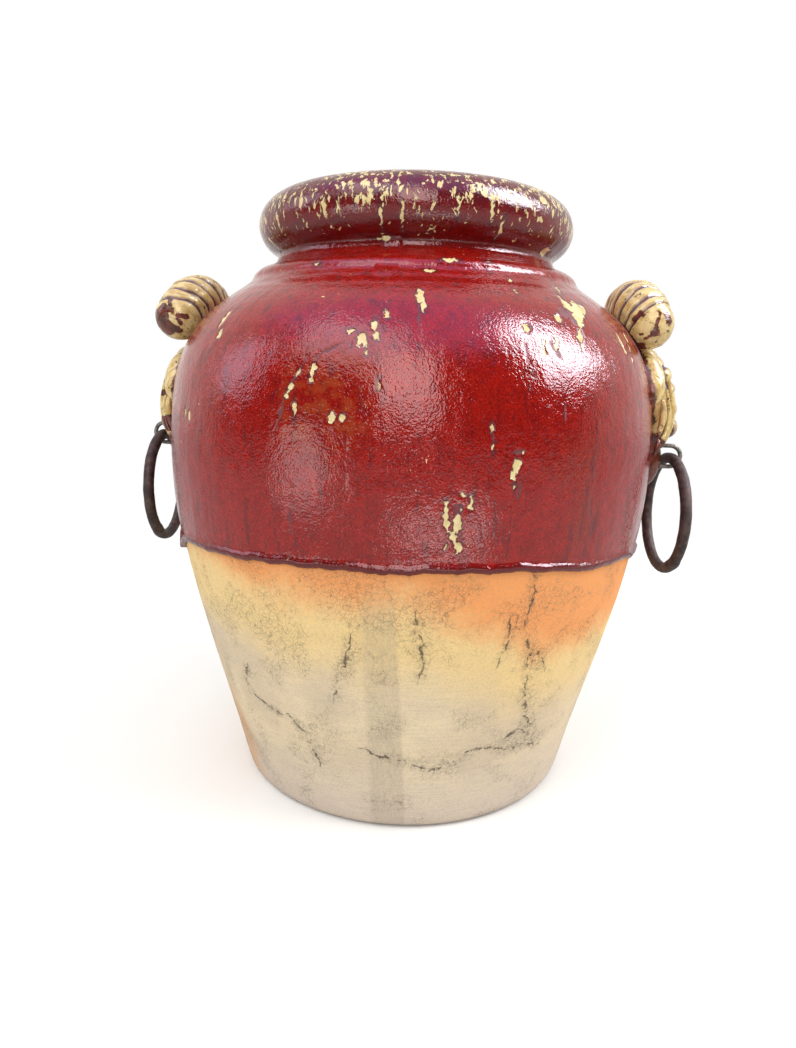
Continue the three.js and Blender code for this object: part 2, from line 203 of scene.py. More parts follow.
def moved_out(line, distance):
    """The line moved off the clay, square to itself."""
    along = directions(line)
    return line + np.stack([along[:, 1], -along[:, 0]], 1) * distance


# %% [markdown]
# ## The clay pot
# The bare foot of the real urn is coarse fired clay, thrown on a wheel. The outline is spun round
# the axis with bmesh.ops.spin, as a potter's wheel does it. Rows of faces lie close together where
# the clay shows, below the glaze, and wide apart under the glaze and inside. Noise then moves the
# corners a few tenths of a millimetre, for throwing ridges and the wobble of a hand.

# %% Tools for spinning


def only(kind, parts):
    """The corners, the edges or the faces in a mixed list of them."""
    return [part for part in parts if isinstance(part, kind)]


def turn_round(form, verts, angle, axis="Z"):
    """Turns corners about an axis through the origin."""
    bmesh.ops.rotate(form, verts=verts, cent=(0, 0, 0), matrix=Matrix.Rotation(angle, 3, axis))


def spun(form, geom, axis, steps):
    """Spins geometry once round an axis through the origin: an eighth of a turn, doubled three times."""
    bmesh.ops.spin(
        form, geom=geom, cent=(0, 0, 0), axis=axis, dvec=(0, 0, 0), angle=math.pi / 4, steps=steps // 8,
        use_merge=False, use_normal_flip=False, use_duplicate=False,
    )
    for turn in (math.pi / 4, math.pi / 2, math.pi):
        whole = form.verts[:] + form.edges[:] + form.faces[:]
        copy = bmesh.ops.duplicate(form, geom=whole)["geom"]
        turn_round(form, only(bmesh.types.BMVert, copy), turn, axis)
    bmesh.ops.remove_doubles(form, verts=form.verts, dist=WELD)
    bmesh.ops.recalc_face_normals(form, faces=form.faces)
    return form


def turned(line, steps, closed):
    """Spins a line about the pot's axis; a closed line makes a skin, an open one ends on the axis."""
    form = bmesh.new()
    verts = [form.verts.new((0, -radius, height)) for radius, height in line]
    pairs = list(zip(verts, verts[1:]))
    if closed:
        pairs.append((verts[-1], verts[0]))
    edges = [form.edges.new(pair) for pair in pairs]
    return spun(form, verts + edges, Vector((0, 0, 1)), steps)


print("tools for spinning ready")

# %% Tools for moving corners


def corners(piece):
    """All corners of a piece as an array of places."""
    places = np.empty(3 * len(piece.data.vertices))
    piece.data.vertices.foreach_get("co", places)
    return places.reshape(-1, 3)


def put_corners(piece, places):
    """Moves all corners of a piece to new places."""
    piece.data.vertices.foreach_set("co", places.ravel())
    piece.data.update()


def radius_and_angle(places):
    """Metres from the pot's axis, and degrees round it from the front towards +X."""
    return np.hypot(places[:, 0], places[:, 1]), np.degrees(np.arctan2(places[:, 0], -places[:, 1]))


def noise_at(places, size, seed=0):
    """Smooth noise from -1 to 1 at each place; its lumps are about size metres wide."""
    shift = Vector((seed * 7.3, seed * 3.1, seed * 5.7))
    return np.array([noise.noise(Vector(place) / size + shift) for place in places])


print("tools for moving corners ready")

# %% Spin the clay

CLAY_STEPS = 384  # corners round the pot
SHOWN_STEP = 2.2 * MM  # between rows of corners where the clay shows
COVERED_STEP = 9 * MM  # between rows of corners under the glaze
INSIDE_STEP = 6 * MM
GLAZE_EDGE = 185 * MM  # mean height of the glaze's lower edge in front
COVERED_FROM = GLAZE_EDGE + 12 * MM
FOOT_FLAT = 2 * MM  # the foot keeps its shape up to this height, because the pot stands on it
FOOT_FADE = 6 * MM  # and the waves of the wall grow over this height above it
FLOOR_FLAT = 60 * MM  # radius within which both sides of the floor stay flat
THROWING = [(9, 0.18, 0.15), (60, 0.25, 1), (6, 0.09, 1)]  # size and height in mm, stretch round the pot

covered_from = index_at(clay_line[:belly], COVERED_FROM)
clay_rows = np.vstack([
    [clay_outline[0]],
    walk(clay_line, 0, covered_from, SHOWN_STEP),
    walk(clay_line, covered_from, rim_top, COVERED_STEP)[1:],
    walk(clay_line, rim_top, len(clay_line), INSIDE_STEP)[1:],
    [clay_outline[-1]],
])
clay_pot = mesh_piece("clay_pot", turned(clay_rows, CLAY_STEPS, False), "urn", "bare_clay", "urn_body")

places = corners(clay_pot)
radius, _ = radius_and_angle(places)
ridges = sum(
    noise_at(places * [stretch, stretch, 1], size * MM, seed) * rise
    for seed, (size, rise, stretch) in enumerate(THROWING))
wavy = np.clip((places[:, 2] - FOOT_FLAT) / FOOT_FADE, 0, 1) * (radius > FLOOR_FLAT)
wide = 1 + ridges * wavy * MM / np.maximum(radius, FLOOR_FLAT)
put_corners(clay_pot, places * np.stack([wide, wide, np.ones(len(wide))], 1))

# %% [markdown]
# ## The glaze coat
# The glaze is a skin of glass a good millimetre thick. It ran down in the kiln and stopped as a fat
# rolled edge. Its section goes up the wall 1.4 mm off the clay, over the rim, a little way into the
# mouth, and back down against the clay. It is spun with a level edge, and the edge is let down later.

# %% Spin the glaze

GLAZE_FACE = 1.4 * MM  # from the clay to the glaze's outer face
GLAZE_BACK = 0.3 * MM
ROLL_OUT = 2.9 * MM  # how far the rolled edge stands off the clay
ROLL_HEIGHT = 7 * MM
ROLL_TOP = GLAZE_EDGE + ROLL_HEIGHT
ROLL_ROUND = 0.93  # share of a half circle that the roll's section follows
ROLL_ALONE = 0.55  # share of its height above which the roll flows into the coat
GLAZE_END = 383 * MM  # where the coat ends inside the mouth
GLAZE_STEPS = 400  # corners round the coat
OUTER_STEP = 2.7 * MM  # between its outer rows of corners
glaze_face_line = moved_out(clay_line, GLAZE_FACE)


def glaze_section():
    """One closed section of the coat, in front, with its lower edge level."""
    start = index_at(clay_line[:belly], GLAZE_EDGE)
    stop = rim_top + index_at(clay_line[rim_top:], GLAZE_END)
    roll_top = index_at(clay_line[:belly], ROLL_TOP)
    roll_line = walk(clay_line, start, roll_top, LINE_STEP)
    share = np.linspace(0, 1, len(roll_line))
    swell = GLAZE_BACK + (ROLL_OUT - GLAZE_BACK) * np.sqrt(np.sin(np.pi * (share * ROLL_ROUND)))
    blend = np.clip((share - ROLL_ALONE) / (1 - ROLL_ALONE), 0, 1) ** 2
    swell = swell * (1 - blend) + GLAZE_FACE * blend
    roll = moved_out(roll_line, swell[:, None])
    outer = walk(glaze_face_line, roll_top, stop, OUTER_STEP)[1:]
    inner = walk(moved_out(clay_line, GLAZE_BACK), start, stop, COVERED_STEP)[::-1]
    return np.vstack([roll, outer, inner[:-1]])


glaze_form = turned(glaze_section(), GLAZE_STEPS, True)
print("glaze spun with", len(glaze_form.faces), "faces")

# %% [markdown]
# ## Where the edge hangs and the glaze broke
# The edge hangs lowest at the sides and behind, with a lobe here and a drip there. Small places where
# the glaze crawled back or burst lie open to the cream slip below, some in a chain down the front and
# one group near the edge. All of them are given in degrees round the pot from the front
# towards +X and millimetres above the floor: angle, height, half width, half height and tilt.

# %% List the marks of the kiln

EDGE_TILT = 15 * MM  # the edge lies this much lower at the sides than in front, and twice that behind
EDGE_LOBES = [  # angle, half width in degrees, drop in mm
    (1, 4.5, 1.6), (9, 1.5, -0.8), (27, 1.6, -1.2), (46, 7, 2.2), (-16, 5, 0.8), (-33, 8, 1.4),
    (-65, 5, 8), (70, 4, 1.5), (95, 6, 2.5), (142, 5, 6), (178, 9, 2), (216, 6, 7), (255, 5, 2),
]
CHIPS = [
    (-1.3, 325, 2.4, 2.6, 0), (-0.6, 320, 2.0, 1.8, 20), (-2.7, 314.5, 1.8, 2.6, 0),
    (-2.0, 309, 1.6, 2.2, 30), (-4.8, 306.5, 3.2, 3.6, 10), (-3.4, 302, 1.2, 3.0, 0),
    (-7.2, 311.5, 2.6, 1.3, 0), (6.3, 331, 1.9, 4.0, 5), (6.9, 326, 1.3, 3.6, 0),
    (-0.9, 285, 0.8, 2.4, 0), (-13.4, 291, 1.4, 3.2, -10), (-13.8, 286, 1.2, 2.0, 10),
    (-16.4, 289, 0.9, 2.2, -20), (-17.8, 282, 1.3, 2.4, -15), (-18.4, 277.5, 1.1, 2.0, 0),
    (-16.6, 270.5, 1.3, 4.2, 5), (-9.1, 267, 1.8, 2.3, 0), (-7.2, 266.5, 0.9, 2.0, 0),
    (-43.5, 319, 1.6, 5.2, 0), (-41.3, 310, 2.0, 3.0, -10), (-50, 264, 1.0, 3.0, -10),
    (-47.5, 262.5, 0.9, 3.2, 0), (46.6, 327, 3.4, 9.5, -50), (44.6, 330.5, 2.4, 3.6, -40),
    (44.4, 320.5, 1.9, 3.4, -40), (50, 329, 1.2, 5, -50), (44.0, 332.5, 1.0, 4.6, -30),
    (38.0, 322.5, 1.8, 2.8, -40), (42.3, 313.5, 1.9, 4.0, -35), (41.4, 307, 1.0, 2.6, -20),
    (34.6, 307.5, 1.7, 4.0, -20), (31.2, 305.5, 1.2, 4.6, -15), (28.3, 315.3, 2.1, 2.3, 0),
    (58.4, 310.5, 1.5, 6.0, 0), (64, 315, 0.9, 3.0, -25), (62.5, 308, 0.8, 2.8, -25),
    (61.3, 301.5, 0.8, 2.4, -25), (31.8, 343, 1.2, 1.2, 0), (30.5, 336, 0.7, 1.2, 0),
    (48.5, 341, 0.8, 3.6, -50), (19.4, 264, 0.8, 2.2, 0), (19.8, 254, 0.8, 2.4, 0),
    (25.6, 250.5, 0.9, 1.1, 0), (24.4, 244, 2.1, 3.6, 5), (23.9, 238.5, 1.3, 3.2, 8),
    (24.4, 232.5, 0.5, 1.6, 0), (14.6, 229, 2.2, 1.0, -12), (16.1, 224.5, 1.1, 4.0, -4),
    (11.6, 222, 1.0, 3.6, 0), (11.8, 214.5, 1.2, 5.6, 8), (13.8, 213.5, 2.2, 4.8, 0),
    (13.2, 206, 1.5, 4.2, 25), (14.2, 200, 1.9, 2.9, 0), (11.7, 200.5, 0.9, 1.2, 0),
    (112, 300, 2.4, 4.0, 10), (118, 290, 1.4, 3.0, -20), (131, 262, 2.0, 5.0, 5),
    (152, 318, 3.0, 3.4, 20), (156, 309, 1.6, 3.6, 0), (171, 243, 1.8, 4.6, -8),
    (-161, 289, 2.8, 4.2, 15), (-152, 276, 1.3, 3.2, 0), (-128, 322, 2.4, 3.0, -20),
    (-121, 228, 2.0, 5.4, 6), (-138, 205, 1.3, 3.0, 0), (140, 214, 1.5, 4.0, 0),
]
RIM_DRIPS = [
    (-6, 366.7, 4.6, 1.6, 0), (-5.9, 377, 0.8, 4.6, 0), (0.6, 378, 0.7, 6.6, 0),
    (-15, 391, 0.6, 5.0, 12), (33.4, 374, 0.8, 4.4, 0), (17.6, 384, 0.8, 5.2, 0),
    (28.8, 382, 0.8, 5.0, 0), (48.3, 382, 2.4, 1.8, 0), (51, 394, 3.0, 2.4, 0), (9.8, 371, 1.6, 0.9, 0),
    (-26, 352, 2.2, 0.9, 0), (15, 353.5, 4.4, 0.9, 0), (27.5, 354, 2.2, 0.9, 0), (9, 346.6, 2.4, 0.9, 0),
    (63, 368, 4.0, 2.4, 0), (-20, 383, 0.7, 4.0, 0), (-48, 380, 1.0, 6.0, 0), (-62, 372, 1.2, 4.0, 0),
    (104, 378, 0.9, 6.5, 0), (128, 371, 1.4, 3.0, 0), (149, 380, 0.8, 7.0, 0), (173, 376, 1.0, 4.0, 0),
    (-166, 380, 0.8, 6.0, 0), (-141, 372, 1.8, 2.0, 0), (-118, 379, 0.9, 7.0, 0),
    (-92, 376, 0.8, 5.0, 0), (84, 380, 0.9, 5.0, 0),
]
# real dark streaks of the glaze; the last four big spots beside each scroll are painted shade where the
# scrolls sit on the wall
DARK_STREAKS_AND_SEAT_SHADE = [
    (6.0, 320, 0.7, 7, 0), (25.2, 231, 1.0, 7, -4), (13.9, 221.5, 2.6, 3.4, 0), (-17.4, 210, 0.8, 7, 5),
    (34.7, 272, 0.7, 5, 0), (42.7, 217, 0.8, 7, 8), (28.7, 316, 2.6, 2.8, 0), (34, 304.5, 1.8, 6.5, 30),
    (40.8, 326, 3.0, 3.4, -30), (27, 303, 0.9, 4.5, 0), (45, 326, 5.0, 11, -50),
    (42.3, 313.5, 3.0, 5.0, -35), (-5.9, 307, 5.5, 1.0, 62), (-10.5, 302, 0.8, 9.5, -62),
    (-17, 287, 0.8, 11, -28), (-19.4, 269, 0.7, 9, -12), (19.6, 259, 0.5, 7, 0),
    (24.4, 251, 2.6, 1.4, 0), (5.5, 330, 0.9, 3, 0), (-2.6, 318, 4.2, 1.6, 60), (112, 292, 0.8, 8, 0),
    (131, 254, 0.8, 9, 0), (152, 306, 0.9, 9, 0), (-161, 280, 0.9, 10, 0), (-128, 312, 0.8, 9, 0),
    (-121, 218, 0.8, 9, 0), (78, 230, 0.8, 10, 0), (-84, 300, 0.8, 12, 0), (75, 318, 13, 24, 0),
    (-74, 318, 13, 24, 0), (105, 318, 13, 24, 0), (-106, 318, 13, 24, 0),
]
print(len(CHIPS), "chips,", len(RIM_DRIPS), "drips on the rim and", len(DARK_STREAKS_AND_SEAT_SHADE), "dark streaks")

# %% Measure from the edge and the marks

EDGE_RAGGED = [(14, 1.2), (38, 0.8), (75, 0.4)]  # waves round the pot and their height in mm
SLIDE_TOP = 232 * MM  # the slide of the edge fades out up to here
MARK_REACH = 3.0  # mm from a mark's outline, where it has no effect any more


def off_angle(angle, middle):
    """Degrees from a middle to an angle, the short way round."""
    return (angle - middle + 180) % 360 - 180


def edge_shift(angle):
    """How far the glaze's edge lies above its height in front, at angles in degrees."""
    shift = EDGE_TILT * (np.cos(np.radians(angle)) - 1)
    for middle, half_width, drop in EDGE_LOBES:
        shift = shift - drop * MM * np.exp(-((off_angle(angle, middle) / half_width) ** 2))
    turn = np.radians(angle)
    for size, rise in EDGE_RAGGED:
        ring = np.stack([np.sin(turn), np.cos(turn), np.ones(len(turn))], 1) * size
        shift = shift + rise * MM * noise_at(ring, 1)
    return shift


def slid_height(angle, height):
    """Height after the edge is let down; the slide fades out towards its top."""
    reach = np.clip((SLIDE_TOP - height) / (SLIDE_TOP - ROLL_TOP), 0, 1)
    angles, where = np.unique(np.round(angle, 2), return_inverse=True)
    return height + edge_shift(angles)[where] * reach * reach * (3 - 2 * reach)


def off_spots(places, spots):
    """Distance in mm from each place to the outline of the nearest spot, below 0 inside it."""
    radius, angle = radius_and_angle(places)
    nearest = np.full(len(places), MARK_REACH)
    for middle, level, half_width, half_height, tilt in spots:
        across = np.radians(off_angle(angle, middle)) * radius / MM
        up = places[:, 2] / MM - level
        sine = math.sin(math.radians(tilt))
        cosine = math.cos(math.radians(tilt))
        wide = (across * cosine + up * sine) / half_width
        share = np.hypot(wide, (up * cosine - across * sine) / half_height)
        nearest = np.minimum(nearest, (share - 1) * min(half_width, half_height))
    return nearest


print("edge in front %.1f mm, behind %.1f mm" % tuple((GLAZE_EDGE + edge_shift(np.array([0, 180]))) / MM))

# %% [markdown]
# ## Let the edge run and break the surface
# The rows near the edge slide down the wall by as much as it hangs at their angle, so the roll keeps
# its shape all the way round. Faces near a mark are split with subdivide_edges, because a chip of 2 mm
# needs finer corners than a smooth wall. New corners start on the flat of their old face, so they
# are put back on the turned outline first. Chips then sink by nearly half the glaze's thickness.

# %% Cut finer corners for the marks

ON_LINE = 0.3 * MM  # a corner this near to the outer face's outline lies on it
SMALL_MARK = 6  # half a mark's narrow side in mm, below which it needs finer corners
SPLIT_REACH = 2.0  # mm round a small mark

face_tree = kdtree.KDTree(len(glaze_face_line))
for index, (line_radius, line_height) in enumerate(glaze_face_line):
    face_tree.insert((line_radius, line_height, 0), index)
face_tree.balance()


def on_outline(radius, height):
    """Index of the nearest point of the outer face's outline, and the distance to it."""
    found = [face_tree.find((*point, 0)) for point in zip(radius, height)]
    return np.array([hit[1] for hit in found]), np.array([hit[2] for hit in found])


def split_near_marks(form):
    """Splits the outer faces near small marks into 9; the old corners stay at the front of the list."""
    form.faces.ensure_lookup_table()
    form.verts.index_update()
    starts = np.array([vert.co for vert in form.verts])
    on_face = on_outline(radius_and_angle(starts)[0], starts[:, 2])[1] < ON_LINE
    outer = np.array([all(on_face[vert.index] for vert in face.verts) for face in form.faces])
    middles = np.array([face.calc_center_median() for face in form.faces])
    middles[:, 2] = slid_height(radius_and_angle(middles)[1], middles[:, 2])
    small = [spot for spot in CHIPS + RIM_DRIPS + DARK_STREAKS_AND_SEAT_SHADE if min(spot[2:4]) < SMALL_MARK]
    near = outer & (off_spots(middles, small) < SPLIT_REACH)
    edges = {edge for index in np.flatnonzero(near) for edge in form.faces[index].edges}
    bmesh.ops.subdivide_edges(form, edges=list(edges), cuts=2, use_grid_fill=True)


def back_on_line(radius, height):
    """Moves points to the nearest place on the outer face's outline."""
    nearest = on_outline(radius, height)[0]
    start = glaze_face_line[nearest]
    tangent = directions(glaze_face_line)[nearest]
    along = np.sum((np.stack([radius, height], 1) - start) * tangent, axis=1)[:, None]
    return (start + tangent * along).T


old_count = len(glaze_form.verts)
split_near_marks(glaze_form)
red_coat = mesh_piece("red_coat", glaze_form, "urn", "red_glaze", "glaze_coat")

# %% Let the edge down and break the surface

FACE_DEPTH = 0.4 * MM  # what lies this deep after the splits is still the outer face
ROLL_FOOT = 0.8 * MM  # off the clay; what lies nearer is the back of the roll
DRIP_DROP = 5  # mm; a lobe of the edge that hangs lower is a drip
DRIP_HEIGHT = 9 * MM
DRIP_OUT = 2 * MM
CHIP_DEPTH = 0.5  # mm
CHIP_EDGE = 0.9  # mm over which a chip sinks
STREAK_DEPTH = 0.22  # mm
GLAZE_LUMPS = [(14, 0.16, 4), (5, 0.05, 5)]  # size and height in mm, and seed
ROLL_LUMP = 0.9  # mm, at the very edge
WOBBLE_SIZE = 2.4 * MM  # of the bays in the outline of a mark
WOBBLE_DEPTH = 1.9 * MM

places = corners(red_coat)
radius, angle = radius_and_angle(places)
height = places[:, 2].copy()
new = np.flatnonzero((np.arange(len(places)) >= old_count) & (height > ROLL_TOP))
radius[new], height[new] = back_on_line(radius[new], height[new])
outside = on_outline(radius, height)[1] < FACE_DEPTH
outside |= (height < ROLL_TOP) & (radius > wall_radius(height) + ROLL_FOOT)
new_height = slid_height(angle, height)
new_radius = radius + np.where(height < SLIDE_TOP, wall_radius(new_height) - wall_radius(height), 0)
drips = [lobe for lobe in EDGE_LOBES if lobe[2] > DRIP_DROP]
drip = sum(np.exp(-((off_angle(angle, middle) / half_width) ** 2)) for middle, half_width, _ in drips)
new_radius += DRIP_OUT * drip * np.clip(1 - (height - GLAZE_EDGE) / DRIP_HEIGHT, 0, 1) * outside

drawn_down = np.stack([angle * 0.9, height * 14, height * 0], 1)  # long lumps, as glaze runs
lumps = noise_at(drawn_down, 2.2) * 0.16
lumps += sum(noise_at(places, size * MM, seed) * rise for size, rise, seed in GLAZE_LUMPS)
lumps += noise_at(places, 6 * MM, 6) * ROLL_LUMP * np.clip(1 - (height - GLAZE_EDGE) / ROLL_HEIGHT, 0, 1)
heading = np.stack([np.sin(np.radians(angle)), -np.cos(np.radians(angle))], 1)
marked = np.column_stack([heading * new_radius[:, None], new_height])
wobble = np.stack([noise_at(marked, WOBBLE_SIZE, seed) for seed in (11, 12, 13)], 1) * WOBBLE_DEPTH
chip = off_spots(marked + wobble, CHIPS)
# distance to the dark streaks and to the spots of painted shade beside the scrolls
streak_and_seat_shade = off_spots(marked + wobble * 0.7, DARK_STREAKS_AND_SEAT_SHADE)
sunk = np.clip(0.5 - chip / CHIP_EDGE, 0, 1) * CHIP_DEPTH + np.clip(0.5 - streak_and_seat_shade, 0, 1) * STREAK_DEPTH
new_radius += (lumps - sunk) * MM * outside
put_corners(red_coat, np.column_stack([heading * new_radius[:, None], new_height]))


def keep_values(piece, name, values):
    """Keeps a number on every corner, for a material to read."""
    piece.data.attributes.new(name, "FLOAT", "POINT").data.foreach_set("value", values)


keep_values(red_coat, "open_slip", np.minimum(chip, off_spots(marked + wobble, RIM_DRIPS)))
keep_values(red_coat, "streak_and_seat_shade", streak_and_seat_shade)
keep_values(red_coat, "above_edge", (height - GLAZE_EDGE) / MM)
edge_top = GLAZE_EDGE + edge_shift(angle).max()
print("glaze edge from %.1f to %.1f mm" % (new_height.min() / MM, edge_top / MM))

# %% [markdown]
# ## The scrolls
# A scroll is a roll of clay bent into a low arch and pressed on the shoulder. Its ribs were cut
# across it. A long ball from create_uvsphere already has the poles and rings that such a roll
# needs: each of its rings is laid on the arch, so the two poles become the rounded ends.

# %% Bend a ball into a ribbed roll

ARCH_RADIUS = 42 * MM
ARCH_HALF = math.radians(45)
ARCH_LEAN = math.radians(21)
ROLL_RADIUS = 18.5 * MM
END_RADIUS = 16.5 * MM
GROOVE_DEPTH = 1.5 * MM
SCROLL_LUMPS = [(90, 1.5, 0.8), (260, 4, 0.35)]  # lumps along a metre, lumps round the roll, height in mm
STROKE_REACH = 9.0  # mm from a stroke of red, where it has no effect any more
SEAM_REACH = 3  # how far off a groove its plum colour is followed

SIDES = {
    "right": {
        "turn": 0, "crest": (153.5, 338), "leaf": 265, "eye": (188, 236), "seed": 3, "askew": 4.6,
        "cuts": (-33, -26, -18.5, -11, -3.5, 4, 11.6, 19.8, 28, 34),
    },
    "left": {
        "turn": math.pi, "crest": (157.5, 338), "leaf": 259, "eye": (189.5, 241), "seed": 8, "askew": 2.8,
        "cuts": (-32.2, -25.2, -18, -10.5, -3, 4.5, 12, 19.5, 26.5, 33),
    },
}
RED_MARKS = {  # strokes of red: mm along and degrees round the roll at both ends, half width in mm
    "right": [
        (47.5, 150, 47.9, 98, 1.5), (48.0, 104, 48.3, 92, 2.4), (47.6, 96, 44, 80, 1.5),
        (44, 80, 40.5, 68, 1.1), (40.5, 50, 44.1, 38, 2.8), (34.2, 108, 36.5, 128, 1.5),
        (37.4, 108, 37.8, 106, 0.9), (39.0, 74, 39.6, 71, 1.0), (45.2, 146, 45.6, 140, 0.9),
        (46, 190, 45, 230, 2.5),
        (-46, 60, -48, 120, 2.6), (-42, 140, -45, 200, 1.8), (-38, 40, -41, 60, 1.2),
    ],
    "left": [
        (-43.5, 56, -49.4, 30, 5.6), (-45, 30, -45, 0, 5.0), (-47.6, 76, -47.2, 156, 2.4),
        (-36, 75, -41, 82, 1.5), (-41.5, 84, -44.9, 132, 1.7), (-43.4, 108, -40.2, 132, 1.9),
        (-44, 240, -46, 300, 3.0),
        (44, 70, 47, 150, 3.0), (40, 120, 42, 160, 1.4), (46, 230, 43, 280, 2.4),
    ],
}


def scroll_body(side, run):
    """Middle, outward and upward directions and radius of a scroll's roll, at a place along it."""
    crest_out, crest_up = (value * MM for value in side["crest"])
    past_end = max(0, abs(run) - ARCH_RADIUS * ARCH_HALF)
    arch = max(-ARCH_HALF, min(ARCH_HALF, run / ARCH_RADIUS))
    body = ROLL_RADIUS + (END_RADIUS - ROLL_RADIUS) * (arch / ARCH_HALF) ** 2
    size = body * math.sqrt(max(0, 1 - (past_end / END_RADIUS) ** 2))
    tangent = Vector((math.sin(arch) * math.tan(ARCH_LEAN), -math.cos(arch), -math.sin(arch))).normalized()
    outward = Vector((math.cos(ARCH_LEAN), 0, math.sin(ARCH_LEAN)))
    outward = (outward - tangent * outward.dot(tangent)).normalized()
    drop = ARCH_RADIUS * (1 - math.cos(arch))
    out = crest_out + drop * math.tan(ARCH_LEAN)
    middle = Vector((out, -ARCH_RADIUS * math.sin(arch), crest_up - drop))
    middle += tangent * past_end * (1 if run > 0 else -1)
    return middle, outward, tangent.cross(outward), size


def scroll_place(side, run, round_it):
    """The place on a smooth scroll, before it is cut and dented."""
    middle, outward, upward, size = scroll_body(side, run)
    return middle + (outward * math.cos(round_it) + upward * math.sin(round_it)) * size


def off_red_marks(place, strokes):
    """Distance in mm from a place to the nearest stroke of red, below 0 inside it."""
    nearest = STROKE_REACH
    for start, step, half_width in strokes:
        share = max(0, min(1, (place - start).dot(step) / step.length_squared))
        nearest = min(nearest, (place - start - step * share).length / MM - half_width)
    return nearest


def rib_place(side, run, round_it):
    """Where a place lies along the wandering ribs, in mm, and how far off a groove, in its widths."""
    lift = Vector((math.cos(round_it), math.sin(round_it), side["seed"]))
    wander = noise.noise(Vector((run / (10 * MM), 0, 0)) + lift * 1.3) * 1.5
    wander += noise.noise(Vector((run / (3 * MM), 5, 0)) + lift * 4) * 0.35
    level = run / MM + side["askew"] * math.cos(round_it) + wander
    breadth = 1.05 + noise.noise(Vector((run / (9 * MM), 9, 0)) + lift * 1.1) * 0.75
    return level, min(abs(level - cut) for cut in side["cuts"]) / max(0.45, breadth)


def scroll_lumps(side, run, round_it):
    """The lumps of a scroll at a place, in metres."""
    lumps = 0
    for along, across, rise in SCROLL_LUMPS:
        sideways = math.cos(round_it) * across
        lumps += noise.noise((run * along, sideways, math.sin(round_it) * across + side["seed"])) * rise
    return lumps * MM


def scroll_form(hand, side):
    """The scroll on the +X side, with the values that its material reads kept on every corner."""
    form = bmesh.new()
    bmesh.ops.create_uvsphere(form, u_segments=120, v_segments=190, radius=1)
    seam = form.verts.layers.float.new("seam")
    along = form.verts.layers.float.new("along")
    red = form.verts.layers.float.new("red_mark")
    strokes = []
    for run_a, round_a, run_b, round_b, half_width in RED_MARKS[hand]:
        start = scroll_place(side, run_a * MM, math.radians(round_a))
        step = scroll_place(side, run_b * MM, math.radians(round_b)) - start
        strokes.append((start, step, half_width))
    half_length = ARCH_RADIUS * ARCH_HALF + END_RADIUS
    for vert in form.verts:
        run = (1 - 2 * math.acos(max(-1, min(1, vert.co.z))) / math.pi) * half_length
        round_it = math.atan2(vert.co.y, vert.co.x)
        vert[along], off_groove = rib_place(side, run, round_it)
        vert[seam] = min(SEAM_REACH, off_groove)
        vert[red] = off_red_marks(scroll_place(side, run, round_it), strokes)
        groove = GROOVE_DEPTH * math.exp(-((off_groove / 1.1) ** 2))
        middle, outward, upward, size = scroll_body(side, run)
        size += (scroll_lumps(side, run, round_it) - groove) * min(1, size / END_RADIUS)
        vert.co = middle + (outward * math.cos(round_it) + upward * math.sin(round_it)) * size
    bmesh.ops.recalc_face_normals(form, faces=form.faces)
    return form


scrolls = {}
for hand, side in SIDES.items():
    form = scroll_form(hand, side)
    turn_round(form, form.verts, side["turn"])
    scrolls[hand] = mesh_piece(hand + "_scroll", form, "urn", "cream_glaze", "scroll_" + hand)

# %% [markdown]
# ## The leaf reliefs
# The relief under each scroll was pressed from a mould: a spine of knobs, with curled lobes and long
# strands at both sides. Each lobe is a stretched ball set on the wall. A voxel remesh melts the balls
# into one skin, as soft clay would join, and two rounds of smoothing make it look glazed over.

# %% Press the leaves

LEAF_LOBES = [  # across, up, half width, half length, rise, lean in degrees
    (0, 29, 12, 15, 16.5, 0), (0, 26.5, 10.5, 8.5, 20.3, 0), (0, 18, 8.5, 5.6, 21.3, 0),
    (0, 10, 12.5, 20, 19.2, 0), (0, 4, 9.5, 9, 21.6, 0), (0, -8.5, 9.5, 10, 22.2, 0),
    (0, -8, 12, 18, 19.5, 0), (0, -30, 8, 22, 12, 0), (13, 36, 9.5, 12.5, 11.5, -35),
    (32, 26, 8.4, 20, 10.5, -28), (9, 5, 11, 32, 14, -3),
]
LEAF_STRANDS = [  # across, up and rise at the top, in the middle and at the foot, and half width
    (13, 23, 18, 14, 0, 17.5, 16.5, -20, 10.5, 2.6), (19.5, 17, 14, 19, -4, 14, 22.5, -16, 9, 2.0),
    (24, 10, 10.5, 24, 0, 10.5, 25, -12, 7.5, 2.6), (27, -16, 7, 28, -20, 6.5, 29, -24, 5, 2.0),
]
LEAF_RED = [  # red and plum places on the leaves, as angle, height, half width, half height and tilt
    (87.6, 250, 2.6, 6.5, 10), (80.5, 259, 1.6, 8, 8), (95, 255, 4, 8, 0), (101, 288, 6, 4, 20),
    (-82, 281.5, 14, 4, 0), (-84, 272, 5, 2.4, 0), (-82, 250, 15, 6, 0), (-98, 266, 4, 10, 10),
]
BELLY = clay_line[belly, 0]
KNOB_DEPTH = 1.2  # a knob's depth at most, as a share of its half length; it stands out if it rises more
STRAND_BALLS = 18
STRAND_TIP = 0.55  # thickness of a strand's ends, as a share of its middle's
BALL_STRETCH = 1.8  # so that the balls of a strand run into one another
MELT_SIZE = 0.6 * MM  # of the voxels
CREASE_REACH = 1.5  # mm
CREASE_DEPTH = 0.8 * MM
CUT_DEPTH = 2.5 * MM  # what lies this deep in the glaze is cut away


def glaze_radius(height):
    """Radius of the glaze's outer face at a height below the shoulder."""
    return float(wall_radius(height)) + GLAZE_FACE


def on_wall(across, height, off):
    """A place on the +X side, across the wall, at a height and off the glaze."""
    return Matrix.Rotation(across / BELLY, 4, "Z") @ Vector((glaze_radius(height) + off, 0, height))


